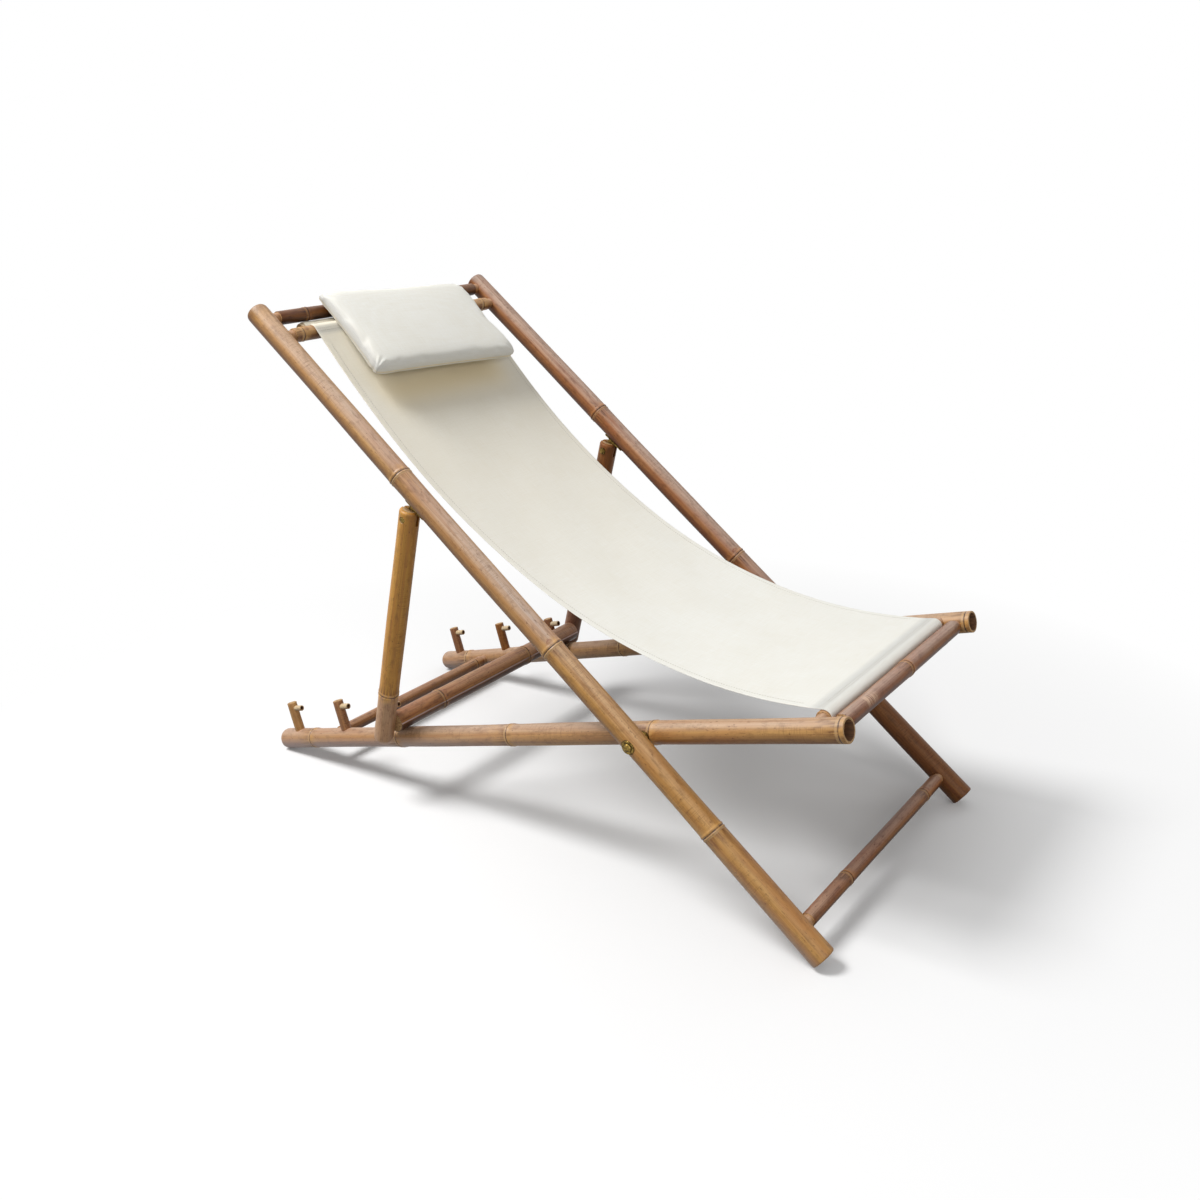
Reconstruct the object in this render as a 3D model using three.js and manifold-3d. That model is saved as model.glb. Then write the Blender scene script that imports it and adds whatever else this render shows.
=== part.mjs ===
// A folding bamboo recliner: a base frame, a back frame that pivots on it, a prop frame whose
// crossbar rests in one of three hooks on the base, a canvas sling and a head pillow.
// Millimetres, +X to the sitter's front, +Y to the sitter's left, +Z up, standing on Z = 0.
import * as THREE from "three";
import { mergeVertices } from "three/addons/utils/BufferGeometryUtils.js";
import Module from "manifold-3d";

// Fits shared by every piece
const fitGap = 0.3;
const overrun = 4;
const poleSegments = 20;
const barSegments = 16;
const smallSegments = 12;
const domeSteps = 5;
const nutSides = 6;

// Base rails
const baseTilt = THREE.MathUtils.degToRad(15.86);
const baseRailLength = 1277;
const baseRailRadius = 18.5;
const baseRearRadius = 20.4;
const baseEndBore = 14.8;
const baseRearBoreDepth = 30;
const baseFrontBoreDepth = 36;
const baseNodesRight = [98, 357, 640, 945];
const baseNodesLeft = [80, 392, 533, 905];

// Back rails
const backTilt = THREE.MathUtils.degToRad(38.37);
const backRailLength = 1400;
const backRailRadius = 19.2;
const backFootRadius = 20.8;
const backEndBore = 15.2;
const backHeadBoreDepth = 38;
const backFootBoreDepth = 30;
const backNodesRight = [404, 789, 1161];
const backNodesLeft = [397, 798, 1150];

// Where the ends of the rails are worn flat on the floor
const floorWear = 1.5;

// Main pivot, measured along the base rail from its rear end
const pivotFromRear = 933.1;
const pivotBoltRadius = 5;
const pivotHeadRadius = 7;
const pivotHeadHeight = 4;
const washerRadius = 11;
const washerThickness = 1.6;
const spotFaceDepth = 1.6;
const spotFaceMargin = 1;
const pivotNutRadius = 8.2;
const pivotNutHeight = 7;
const boltTail = 3;

// Crossbars, as places along the rail that carries them
const crossbarRadius = 12;
const crossbarShoulder = 10;
const tenonRadius = 9.5;
const tenonReach = 10;
const topBarFromHead = 22.3;
const headSlingBarFromHead = 66.6;
const footBarFromFoot = 53.1;
const rearBarFromRear = 137.4;
const frontBarRadius = 13.3;
const frontBarFromFront = 23.7;
const frontSlingBarFromFront = 53;
const frontSlingBarRise = 6;

// Swellings of the cane at its nodes, from the bar's right shoulder
const topBarNodes = [60, 330];
const headSlingBarNodes = [17, 483];
const footBarNodes = [165, 262];
const rearBarNodes = [120, 400];
const frontBarNodes = [75, 222];
const nodeRise = 1.1;
const nodeHalfWidth = 5;

// Hooks on the base rails: a post with a peg
const firstPostFromRear = 50;
const postPitch = 147;
const postCount = 3;
const postRadius = 9.5;
const postHeight = 57.5;
const postSeatDepth = 10;
const pegRadius = 5.5;
const pegBelowPostTop = 12.5;
const pegReach = 18;
const pegSeatDepth = 10;
const pegBore = 3;
const pegBoreDepth = 8;

// Prop frame
const pinFromPivot = 529.2;
const pinBelowBackRail = 46.4;
const legRadius = 18;
const legAbovePin = 15.5;
const legBelowBar = 30;
const legNodeBelowPin = 351;
const legTopSweep = 24;
const propBarRadius = 18.9;
const propBarFromLastPost = 33;
const propBarAheadOfLeg = 10;
const propTenonRadius = 6;
const propTenonReach = 4;
const propBarNodes = [123, 375];

// Prop hinge: a bracket under each back rail whose tongue hangs in the top of the leg
const bracketThickness = 2;
const bracketWidth = 16;
const bracketAhead = 28;
const bracketBehind = 20;
const tongueThickness = 5;
const tongueRadius = 9;
const slotClearance = 0.5;
const pinRadius = 4;
const pinHeadRadius = 5.6;
const pinHeadHeight = 2.4;
const pinHeadSeatDepth = 3;
const pinNutRadius = 6.4;
const pinNutHeight = 4.5;
const screwRadius = 1.8;
const screwHeadRadius = 3.6;
const screwHeadHeight = 1.2;
const screwLength = 13;
const screwFromEnd = 5.5;

// Canvas sling
const slingHalfWidth = 208;
const slingThickness = 2;
const slingHangRadius = 825;
const slingDrawIn = 7;
const slingCrossSag = 7;
const slingColumns = 6;
const slingHangSteps = 26;
const slingWrapSteps = 8;
const slingLoopSteps = 16;
const slingLoopTurn = THREE.MathUtils.degToRad(285);
const hemDowelRadius = 9.5;
const hemDowelOverhang = 6;

// How far the rails and legs stand to each side, from the sling outwards
const slingSideGap = 12.3;
const railGap = 2.7;
const legOutset = 1;
const baseRailY = slingHalfWidth + slingSideGap + baseRailRadius;
const backRailY = baseRailY + baseRailRadius + railGap + backRailRadius;
const legY = backRailY + legOutset;

// Head pillow
const pillowWidth = 348;
const pillowLength = 188;
const pillowHeadEdge = 11;
const pillowFootEdge = 22;
const pillowCrown = 14;
const pillowBelly = 3;
const pillowDrawIn = 4;
const pillowCornerShare = 0.025;
const pillowSideShift = 5;
const pillowPastSlingBar = 47;
const pillowDip = THREE.MathUtils.degToRad(2);
const pillowSkew = THREE.MathUtils.degToRad(-4);
const pillowColumns = 18;
const pillowRows = 12;

// Materials
const cane = () => new THREE.MeshStandardMaterial({ color: 0xb48a5c, roughness: 0.45, metalness: 0 });
const darkCane = () => new THREE.MeshStandardMaterial({ color: 0x8f6240, roughness: 0.45, metalness: 0 });
const paleWood = () => new THREE.MeshStandardMaterial({ color: 0xd9c79a, roughness: 0.6, metalness: 0 });
const brass = () => new THREE.MeshStandardMaterial({ color: 0xb0924e, roughness: 0.35, metalness: 0.9 });
const steel = () => new THREE.MeshStandardMaterial({ color: 0x9a938a, roughness: 0.4, metalness: 0.9 });
const canvas = () => new THREE.MeshStandardMaterial({ color: 0xe9e4d7, roughness: 0.95, metalness: 0 });

const wasm = await Module();
wasm.setup();

// Turns a closed geometry into a solid for joining and cutting
function solid(geometry) {
  const bare = geometry.clone();
  bare.deleteAttribute("normal");
  bare.deleteAttribute("uv");
  const merged = mergeVertices(bare);
  const index = merged.index.array;
  const triangles = [];
  for (let i = 0; i < index.length; i += 3) {
    const [a, b, c] = [index[i], index[i + 1], index[i + 2]];
    if (a !== b && b !== c && c !== a) triangles.push(a, b, c);
  }
  const vertProperties = new Float32Array(merged.attributes.position.array);
  const triVerts = new Uint32Array(triangles);
  return new wasm.Manifold(new wasm.Mesh({ numProp: 3, vertProperties, triVerts }));
}

// Turns a solid back into a geometry
function geometryOf(body) {
  const mesh = body.getMesh();
  const geometry = new THREE.BufferGeometry();
  geometry.setAttribute("position", new THREE.BufferAttribute(new Float32Array(mesh.vertProperties), 3));
  geometry.setIndex(new THREE.BufferAttribute(new Uint32Array(mesh.triVerts), 1));
  geometry.computeVertexNormals();
  return geometry;
}

function subtractAll(body, cutters) {
  return cutters.reduce((rest, cutter) => rest.subtract(cutter), body);
}

function addMesh(group, name, body, material) {
  const mesh = new THREE.Mesh(geometryOf(body), material);
  mesh.name = name;
  group.add(mesh);
  return mesh;
}

const at = (x, y, z) => new THREE.Vector3(x, y, z);
const alongX = at(1, 0, 0);
const alongY = at(0, 1, 0);
const alongZ = at(0, 0, 1);

// A round rod along an axis, from its start point
function rod(radius, length, axis, start, segments = barSegments) {
  const geometry = new THREE.CylinderGeometry(radius, radius, length, segments);
  geometry.translate(0, length / 2, 0);
  const turn = new THREE.Quaternion().setFromUnitVectors(alongY, axis);
  geometry.applyQuaternion(turn);
  geometry.translate(start.x, start.y, start.z);
  return solid(geometry);
}

function box(sizeX, sizeY, sizeZ, centre) {
  const geometry = new THREE.BoxGeometry(sizeX, sizeY, sizeZ);
  geometry.translate(centre.x, centre.y, centre.z);
  return solid(geometry);
}

// A cane pole from the origin along +Y, swollen at its nodes and at one thick end
function polePoints(length, radius, nodes, startRadius = radius, endRadius = radius) {
  const sorted = [...nodes].sort((a, b) => a - b);
  const first = sorted.length ? sorted[0] : length / 2;
  const last = sorted.length ? sorted[sorted.length - 1] : length / 2;
  const radiusAt = (place) => {
    if (place < first) return THREE.MathUtils.lerp(startRadius, radius, place / first);
    if (place > last) return THREE.MathUtils.lerp(radius, endRadius, (place - last) / (length - last));
    return radius;
  };
  const points = [new THREE.Vector2(0, 0), new THREE.Vector2(startRadius, 0)];
  for (const place of sorted) {
    points.push(new THREE.Vector2(radiusAt(place - nodeHalfWidth), place - nodeHalfWidth));
    points.push(new THREE.Vector2(radiusAt(place) + nodeRise, place));
    points.push(new THREE.Vector2(radiusAt(place + nodeHalfWidth), place + nodeHalfWidth));
  }
  points.push(new THREE.Vector2(endRadius, length), new THREE.Vector2(0, length));
  return points;
}

function pole(length, radius, nodes, axis, start, startRadius, endRadius, segments = poleSegments) {
  const points = polePoints(length, radius, nodes, startRadius, endRadius);
  const geometry = new THREE.LatheGeometry(points, segments);
  const turn = new THREE.Quaternion().setFromUnitVectors(alongY, axis);
  geometry.applyQuaternion(turn);
  geometry.translate(start.x, start.y, start.z);
  return solid(geometry);
}

// Places worked out from the sizes above, in the side plane
const rear = new THREE.Vector2(0, baseRearRadius * Math.cos(baseTilt) - floorWear);
const baseDirection = new THREE.Vector2(Math.cos(baseTilt), Math.sin(baseTilt));
const baseNormal = new THREE.Vector2(-baseDirection.y, baseDirection.x);
const backDirection = new THREE.Vector2(Math.cos(backTilt), -Math.sin(backTilt));
const backNormal = new THREE.Vector2(-backDirection.y, backDirection.x);
const onBase = (s, n) => rear.clone().addScaledVector(baseDirection, s).addScaledVector(baseNormal, n);
const pivot = onBase(pivotFromRear, 0);
const onBack = (s, n) => pivot.clone().addScaledVector(backDirection, s).addScaledVector(backNormal, n);
const footHeight = backFootRadius * Math.cos(backTilt) - floorWear;
const footFromPivot = (pivot.y - footHeight) / Math.sin(backTilt);
const headFromPivot = backRailLength - footFromPivot;
const rearmost = rear.x - baseRearRadius * Math.sin(baseTilt);
const frontmost = onBack(footFromPivot, 0).x + backFootRadius * Math.sin(backTilt);

const recliner = new THREE.Group();
recliner.position.x = -(rearmost + frontmost) / 2;

// In the base group +X runs up the base rails from their rear ends
const base = new THREE.Group();
base.position.set(rear.x, 0, rear.y);
base.rotation.y = -baseTilt;
recliner.add(base);

// In the back group +X runs down the back rails and the origin is the main pivot
const back = new THREE.Group();
back.position.set(pivot.x, 0, pivot.y);
back.rotation.y = backTilt;
recliner.add(back);

const pin = onBack(-pinFromPivot, -pinBelowBackRail);
const lastPost = firstPostFromRear + postPitch * (postCount - 1);
const propBarHeight = baseRailRadius + propBarRadius + fitGap;
const propBarPlace = onBase(lastPost + propBarFromLastPost, propBarHeight);
const legAim = onBase(lastPost + propBarFromLastPost - propBarAheadOfLeg, propBarHeight);
const legToBar = pin.distanceTo(legAim);
const legTilt = Math.atan2(pin.x - legAim.x, pin.y - legAim.y);

// In the prop group the legs hang along -Z from the hinge pins
const prop = new THREE.Group();
prop.position.set(pin.x, 0, pin.y);
prop.rotation.y = legTilt;
recliner.add(prop);

const sides = [
  { name: "left", sign: 1, baseNodes: baseNodesLeft, backNodes: backNodesLeft },
  { name: "right", sign: -1, baseNodes: baseNodesRight, backNodes: backNodesRight },
];

// The floor as a block in a turned group, which wears the rail ends flat
function floorBlock(tilt, height, reach) {
  const geometry = new THREE.BoxGeometry(reach, reach, reach);
  geometry.translate(0, 0, -reach / 2);
  geometry.applyMatrix4(new THREE.Matrix4().makeTranslation(0, 0, -height));
  geometry.applyMatrix4(new THREE.Matrix4().makeRotationY(tilt));
  return geometry;
}

// A crossbar between two rails, with a turned tenon at each end
function crossbar(radius, railY, railRadius, nodes, place, height) {
  const shoulder = railY - railRadius - crossbarShoulder;
  const reach = railY + tenonReach;
  const start = at(place, -shoulder, height);
  const bar = pole(2 * shoulder, radius, nodes, alongY, start, radius, radius, barSegments);
  const tenon = rod(tenonRadius, 2 * reach, alongY, at(place, -reach, height));
  return bar.add(tenon);
}

// The blind hole in one rail that takes a crossbar's tenon
function tenonHole(railY, sign, place, height) {
  const length = railY / 2 + tenonReach + fitGap;
  const start = sign > 0 ? railY / 2 : -railY / 2 - length;
  return rod(tenonRadius + fitGap, length, alongY, at(place, start, height));
}

// Base frame
const frontBarPlace = baseRailLength - frontBarFromFront;
const frontSlingBarPlace = baseRailLength - frontSlingBarFromFront;
const postPlaces = Array.from({ length: postCount }, (_, i) => firstPostFromRear + i * postPitch);
const baseFloor = floorBlock(baseTilt, rear.y, baseRailLength);
const baseSpotFace = baseRailRadius - spotFaceDepth;
for (const side of sides) {
  const rail = pole(
    baseRailLength, baseRailRadius, side.baseNodes, alongX,
    at(0, side.sign * baseRailY, 0), baseRearRadius, baseRailRadius,
  );
  const y = side.sign * baseRailY;
  const outward = alongY.clone().multiplyScalar(side.sign);
  const inward = outward.clone().negate();
  const spotRadius = washerRadius + spotFaceMargin;
  const cutters = [
    rod(baseEndBore, baseRearBoreDepth + overrun, alongX, at(-overrun, y, 0)),
    rod(baseEndBore, baseFrontBoreDepth + overrun, alongX, at(baseRailLength - baseFrontBoreDepth, y, 0)),
    tenonHole(baseRailY, side.sign, rearBarFromRear, 0),
    tenonHole(baseRailY, side.sign, frontBarPlace, 0),
    tenonHole(baseRailY, side.sign, frontSlingBarPlace, frontSlingBarRise),
    rod(pivotBoltRadius + fitGap, baseRailY, alongY, at(pivotFromRear, y - baseRailY / 2, 0)),
    rod(spotRadius, baseRailRadius, outward, at(pivotFromRear, y + side.sign * baseSpotFace, 0)),
    rod(spotRadius, baseRailRadius, inward, at(pivotFromRear, y - side.sign * baseSpotFace, 0)),
    solid(baseFloor),
  ];
  for (const place of postPlaces) {
    const seat = baseRailRadius - postSeatDepth;
    const depth = postSeatDepth + postHeight;
    cutters.push(rod(postRadius + fitGap, depth, alongZ, at(place, y, seat), smallSegments));
  }
  addMesh(base, `base_rail_${side.name}`, subtractAll(rail, cutters), cane());

  for (const [i, place] of postPlaces.entries()) {
    const bottom = baseRailRadius - postSeatDepth + fitGap;
    const top = baseRailRadius + postHeight;
    const pegHeight = top - pegBelowPostTop;
    const pegStart = place + postRadius - pegSeatDepth;
    const pegLength = pegSeatDepth + pegReach;
    const post = rod(postRadius, top - bottom, alongZ, at(place, y, bottom), smallSegments);
    const holeStart = at(pegStart - fitGap, y, pegHeight);
    const pegHole = rod(pegRadius + fitGap, pegLength, alongX, holeStart, smallSegments);
    addMesh(base, `hook_post_${side.name}_${i + 1}`, post.subtract(pegHole), cane());
    const peg = rod(pegRadius, pegLength, alongX, at(pegStart, y, pegHeight), smallSegments);
    const pegEnd = pegStart + pegLength - pegBoreDepth;
    const pegHollow = rod(pegBore, pegBoreDepth + overrun, alongX, at(pegEnd, y, pegHeight), smallSegments);
    addMesh(base, `hook_peg_${side.name}_${i + 1}`, peg.subtract(pegHollow), paleWood());
  }
}
const baseBar = (radius, nodes, place, height) =>
  crossbar(radius, baseRailY, baseRailRadius, nodes, place, height);
addMesh(base, "rear_crossbar", baseBar(crossbarRadius, rearBarNodes, rearBarFromRear, 0), darkCane());
addMesh(base, "front_crossbar", baseBar(frontBarRadius, frontBarNodes, frontBarPlace, 0), darkCane());
addMesh(
  base, "front_sling_bar",
  baseBar(crossbarRadius, [], frontSlingBarPlace, frontSlingBarRise), cane(),
);

// Back frame
const topBarPlace = topBarFromHead - headFromPivot;
const headSlingBarPlace = headSlingBarFromHead - headFromPivot;
const footBarPlace = footFromPivot - footBarFromFoot;
const backFloor = floorBlock(-backTilt, pivot.y, backRailLength);
const backSpotFace = backRailRadius - spotFaceDepth;
const bracketTop = -(backRailRadius + fitGap);
const screwPlaces = [-bracketBehind + screwFromEnd, bracketAhead - screwFromEnd];
for (const side of sides) {
  const y = side.sign * backRailY;
  const outward = alongY.clone().multiplyScalar(side.sign);
  const inward = outward.clone().negate();
  const spotRadius = washerRadius + spotFaceMargin;
  const rail = pole(
    backRailLength, backRailRadius, side.backNodes, alongX,
    at(-headFromPivot, y, 0), backRailRadius, backFootRadius,
  );
  const footBore = footFromPivot - backFootBoreDepth;
  const cutters = [
    rod(backEndBore, backHeadBoreDepth + overrun, alongX, at(-headFromPivot - overrun, y, 0)),
    rod(backEndBore, backFootBoreDepth + overrun, alongX, at(footBore, y, 0)),
    tenonHole(backRailY, side.sign, topBarPlace, 0),
    tenonHole(backRailY, side.sign, headSlingBarPlace, 0),
    tenonHole(backRailY, side.sign, footBarPlace, 0),
    rod(pivotBoltRadius + fitGap, backRailY, alongY, at(0, y - backRailY / 2, 0)),
    rod(spotRadius, backRailRadius, outward, at(0, y + side.sign * backSpotFace, 0)),
    rod(spotRadius, backRailRadius, inward, at(0, y - side.sign * backSpotFace, 0)),
    solid(backFloor),
  ];
  for (const place of screwPlaces) {
    const tip = bracketTop - bracketThickness - fitGap + screwLength;
    const start = at(place - pinFromPivot, y, -backRailRadius);
    cutters.push(rod(screwRadius + fitGap, backRailRadius + tip + fitGap, alongZ, start, smallSegments));
  }
  addMesh(back, `back_rail_${side.name}`, subtractAll(rail, cutters), cane());
}
const backBar = (nodes, place) => crossbar(crossbarRadius, backRailY, backRailRadius, nodes, place, 0);
addMesh(back, "top_crossbar", backBar(topBarNodes, topBarPlace), darkCane());
addMesh(back, "head_sling_bar", backBar(headSlingBarNodes, headSlingBarPlace), cane());
addMesh(back, "foot_crossbar", backBar(footBarNodes, footBarPlace), darkCane());

// Prop hinges: bracket and screws on the back rail, pin and nut on the leg
for (const side of sides) {
  const y = side.sign * backRailY;
  const plateMiddle = (bracketAhead - bracketBehind) / 2 - pinFromPivot;
  const plateCentre = at(plateMiddle, y, bracketTop - bracketThickness / 2);
  const plate = box(bracketAhead + bracketBehind, bracketWidth, bracketThickness, plateCentre);
  const tongueHeight = pinBelowBackRail + bracketTop;
  const tongueMiddle = -pinBelowBackRail + tongueHeight / 2;
  const tongueCentre = at(-pinFromPivot, y, tongueMiddle);
  const tongue = box(2 * tongueRadius, tongueThickness, tongueHeight, tongueCentre);
  const eyeStart = at(-pinFromPivot, y - tongueThickness / 2, -pinBelowBackRail);
  const eye = rod(tongueRadius, tongueThickness, alongY, eyeStart);
  const boreStart = at(-pinFromPivot, y - bracketWidth / 2, -pinBelowBackRail);
  const cutters = [rod(pinRadius + fitGap, bracketWidth, alongY, boreStart)];
  for (const place of screwPlaces) {
    const start = at(place - pinFromPivot, y, bracketTop - bracketThickness - overrun);
    cutters.push(rod(screwRadius + fitGap, bracketThickness + 2 * overrun, alongZ, start, smallSegments));
  }
  addMesh(back, `hinge_bracket_${side.name}`, subtractAll(plate.add(tongue).add(eye), cutters), brass());
  for (const [i, place] of screwPlaces.entries()) {
    const headBottom = bracketTop - bracketThickness - fitGap - screwHeadHeight;
    const start = at(place - pinFromPivot, y, headBottom);
    const shank = rod(screwRadius, screwLength + screwHeadHeight, alongZ, start, smallSegments);
    const head = rod(screwHeadRadius, screwHeadHeight, alongZ, start, smallSegments);
    addMesh(back, `bracket_screw_${side.name}_${i === 0 ? "rear" : "front"}`, shank.add(head), steel());
  }
}

// Prop frame
const barInProp = at(propBarPlace.x - pin.x, 0, propBarPlace.y - pin.y).applyAxisAngle(alongY, -legTilt);
const legLength = legAbovePin + legToBar + legBelowBar;
for (const side of sides) {
  const y = side.sign * legY;
  const outward = alongY.clone().multiplyScalar(side.sign);
  const inward = outward.clone().negate();
  const nodes = [legLength - legAbovePin - legNodeBelowPin];
  const body = pole(legLength, legRadius, nodes, alongZ, at(0, y, legAbovePin - legLength));
  const headSeat = legRadius - pinHeadSeatDepth;
  const tenonEnd = legY + propTenonReach + fitGap;
  const tenonHoleStart = side.sign > 0 ? tenonEnd - legY / 2 : -tenonEnd;
  const slotWidth = tongueThickness + 2 * slotClearance;
  const slotDepth = legAbovePin + tongueRadius + slotClearance + overrun;
  const slotMiddle = legAbovePin + overrun - slotDepth / 2;
  const across = 2 * legRadius + 2 * overrun;
  const cutters = [
    box(across, slotWidth, slotDepth, at(0, side.sign * backRailY, slotMiddle)),
    rod(pinRadius + fitGap, across, alongY, at(0, y - across / 2, 0)),
    rod(pinHeadRadius + fitGap, legRadius, outward, at(0, y + side.sign * headSeat, 0)),
    rod(pinNutRadius + fitGap, legRadius, inward, at(0, y - side.sign * headSeat, 0)),
    rod(propTenonRadius + fitGap, legY / 2, alongY, at(barInProp.x, tenonHoleStart, barInProp.z)),
  ];
  // The top of the leg is rounded about the pin so that it turns under the bracket
  const below = box(across, across, legLength, at(0, y, -legLength / 2));
  const sweep = rod(legTopSweep, across, alongY, at(0, y - across / 2, 0), 2 * poleSegments);
  const leg = subtractAll(body.intersect(below.add(sweep)), cutters);
  addMesh(prop, `prop_leg_${side.name}`, leg, cane());

  const pinOuter = legRadius - pinHeadSeatDepth + fitGap;
  const pinInner = pinOuter + pinNutHeight + boltTail;
  const pinLength = pinInner + pinOuter + pinHeadHeight / 2;
  const shank = rod(pinRadius, pinLength, outward, at(0, y - side.sign * pinInner, 0));
  const head = rod(pinHeadRadius, pinHeadHeight, outward, at(0, y + side.sign * pinOuter, 0));
  addMesh(prop, `hinge_pin_${side.name}`, shank.add(head), brass());
  const nut = rod(pinNutRadius, pinNutHeight, inward, at(0, y - side.sign * pinOuter, 0), nutSides);
  const nutBore = rod(pinRadius + fitGap, legRadius + pinInner, inward, at(0, y, 0));
  addMesh(prop, `hinge_nut_${side.name}`, nut.subtract(nutBore), brass());
}
const propBarEnd = legY - legRadius / 2;
const propBarBody = pole(
  2 * propBarEnd, propBarRadius, propBarNodes, alongY,
  at(barInProp.x, -propBarEnd, barInProp.z), propBarRadius, propBarRadius,
);
const cope = sides.map((side) => {
  const start = at(0, side.sign * legY, -legLength);
  return rod(legRadius + fitGap, legLength + legAbovePin, alongZ, start, poleSegments);
});
const propTenon = rod(
  propTenonRadius, 2 * (legY + propTenonReach), alongY,
  at(barInProp.x, -legY - propTenonReach, barInProp.z),
);
addMesh(prop, "prop_crossbar", subtractAll(propBarBody, cope).add(propTenon), darkCane());

// Main pivots: bolt, washers, spacer and nut on each side, carried by the base
const spacerThickness = backRailY - backSpotFace - baseRailY - baseSpotFace - 2 * fitGap;
for (const side of sides) {
  const outward = alongY.clone().multiplyScalar(side.sign);
  const inward = outward.clone().negate();
  const point = (distance) => at(pivotFromRear, side.sign * distance, 0);
  const ring = (thickness, distance, radius = washerRadius, segments = barSegments) => {
    const disc = rod(radius, thickness, outward, point(distance), segments);
    const hole = rod(pivotBoltRadius + fitGap, thickness + 2 * overrun, outward, point(distance - overrun));
    return disc.subtract(hole);
  };
  const outerWasher = backRailY + backSpotFace + fitGap;
  const headSeat = outerWasher + washerThickness + fitGap;
  const innerWasher = baseRailY - baseSpotFace - fitGap - washerThickness;
  const nutSeat = innerWasher - fitGap - pivotNutHeight;
  const shankEnd = nutSeat - boltTail;
  const shankLength = headSeat - shankEnd + pivotHeadHeight / 2;
  const shank = rod(pivotBoltRadius, shankLength, outward, point(shankEnd));
  const domePoints = [new THREE.Vector2(0, 0), new THREE.Vector2(pivotHeadRadius, 0)];
  for (let i = 1; i <= domeSteps; i += 1) {
    const turn = (i / domeSteps) * Math.PI / 2;
    const radius = i === domeSteps ? 0 : pivotHeadRadius * Math.cos(turn);
    domePoints.push(new THREE.Vector2(radius, pivotHeadHeight * Math.sin(turn)));
  }
  const dome = new THREE.LatheGeometry(domePoints, barSegments);
  dome.applyQuaternion(new THREE.Quaternion().setFromUnitVectors(alongY, outward));
  dome.translate(pivotFromRear, side.sign * headSeat, 0);
  addMesh(base, `pivot_bolt_${side.name}`, shank.add(solid(dome)), brass());
  addMesh(base, `pivot_washer_outer_${side.name}`, ring(washerThickness, outerWasher), brass());
  addMesh(base, `pivot_spacer_${side.name}`, ring(spacerThickness, baseRailY + baseSpotFace + fitGap), brass());
  addMesh(base, `pivot_washer_inner_${side.name}`, ring(washerThickness, innerWasher), brass());
  const nut = ring(pivotNutHeight, nutSeat, pivotNutRadius, nutSides);
  addMesh(base, `pivot_nut_${side.name}`, nut, brass());
}

// The point at given distances from two centres, on the side that the sign picks
function meetingPoint(a, b, distanceA, distanceB, sign) {
  const between = b.clone().sub(a);
  const span = between.length();
  const alongSpan = (distanceA ** 2 - distanceB ** 2 + span ** 2) / (2 * span);
  const aside = Math.sqrt(distanceA ** 2 - alongSpan ** 2) * sign;
  const unit = between.divideScalar(span);
  return new THREE.Vector2(
    a.x + unit.x * alongSpan - unit.y * aside,
    a.y + unit.y * alongSpan + unit.x * aside,
  );
}

// Sling: each end goes over a bar, down through the gap to the next bar, and round a dowel
const topBar = onBack(topBarPlace, 0);
const headBar = onBack(headSlingBarPlace, 0);
const frontBar = onBase(frontBarPlace, 0);
const frontSlingBar = onBase(frontSlingBarPlace, frontSlingBarRise);
const clothRoom = slingThickness + 2 * fitGap;
const dowelTo = (radius) => radius + clothRoom + hemDowelRadius;
const headDowel = meetingPoint(
  topBar, headBar,
  dowelTo(crossbarRadius + nodeRise), dowelTo(crossbarRadius), -1,
);
const frontDowel = meetingPoint(
  frontSlingBar, frontBar,
  dowelTo(crossbarRadius), dowelTo(frontBarRadius + nodeRise), -1,
);
const wrapRadius = crossbarRadius + fitGap + slingThickness / 2;
const loopRadius = hemDowelRadius + fitGap + slingThickness / 2;
const angleTo = (from, to) => Math.atan2(to.y - from.y, to.x - from.x);
const around = (centre, radius, angle) =>
  new THREE.Vector2(centre.x + radius * Math.cos(angle), centre.y + radius * Math.sin(angle));

// The hanging curve between two points, with its slope at each end
function hang(a, b) {
  const spread = b.x - a.x;
  const chord = 2 * slingHangRadius * Math.sinh(spread / (2 * slingHangRadius));
  const low = (a.x + b.x) / 2 - slingHangRadius * Math.asinh((b.y - a.y) / chord);
  const rise = (x) => slingHangRadius * Math.cosh((x - low) / slingHangRadius);
  return {
    point: (x) => new THREE.Vector2(x, a.y - rise(a.x) + rise(x)),
    slope: (x) => Math.sinh((x - low) / slingHangRadius),
  };
}
let headLift = Math.PI / 4;
let frontLift = Math.PI / 2;
let curve = null;
for (let i = 0; i < slingHangSteps; i += 1) {
  const from = around(headBar, wrapRadius, headLift);
  const to = around(frontSlingBar, wrapRadius, frontLift);
  curve = hang(from, to);
  headLift = Math.atan(curve.slope(from.x)) + Math.PI / 2;
  frontLift = Math.atan(curve.slope(to.x)) + Math.PI / 2;
}
const slingStart = around(headBar, wrapRadius, headLift);
const slingEnd = around(frontSlingBar, wrapRadius, frontLift);

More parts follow.
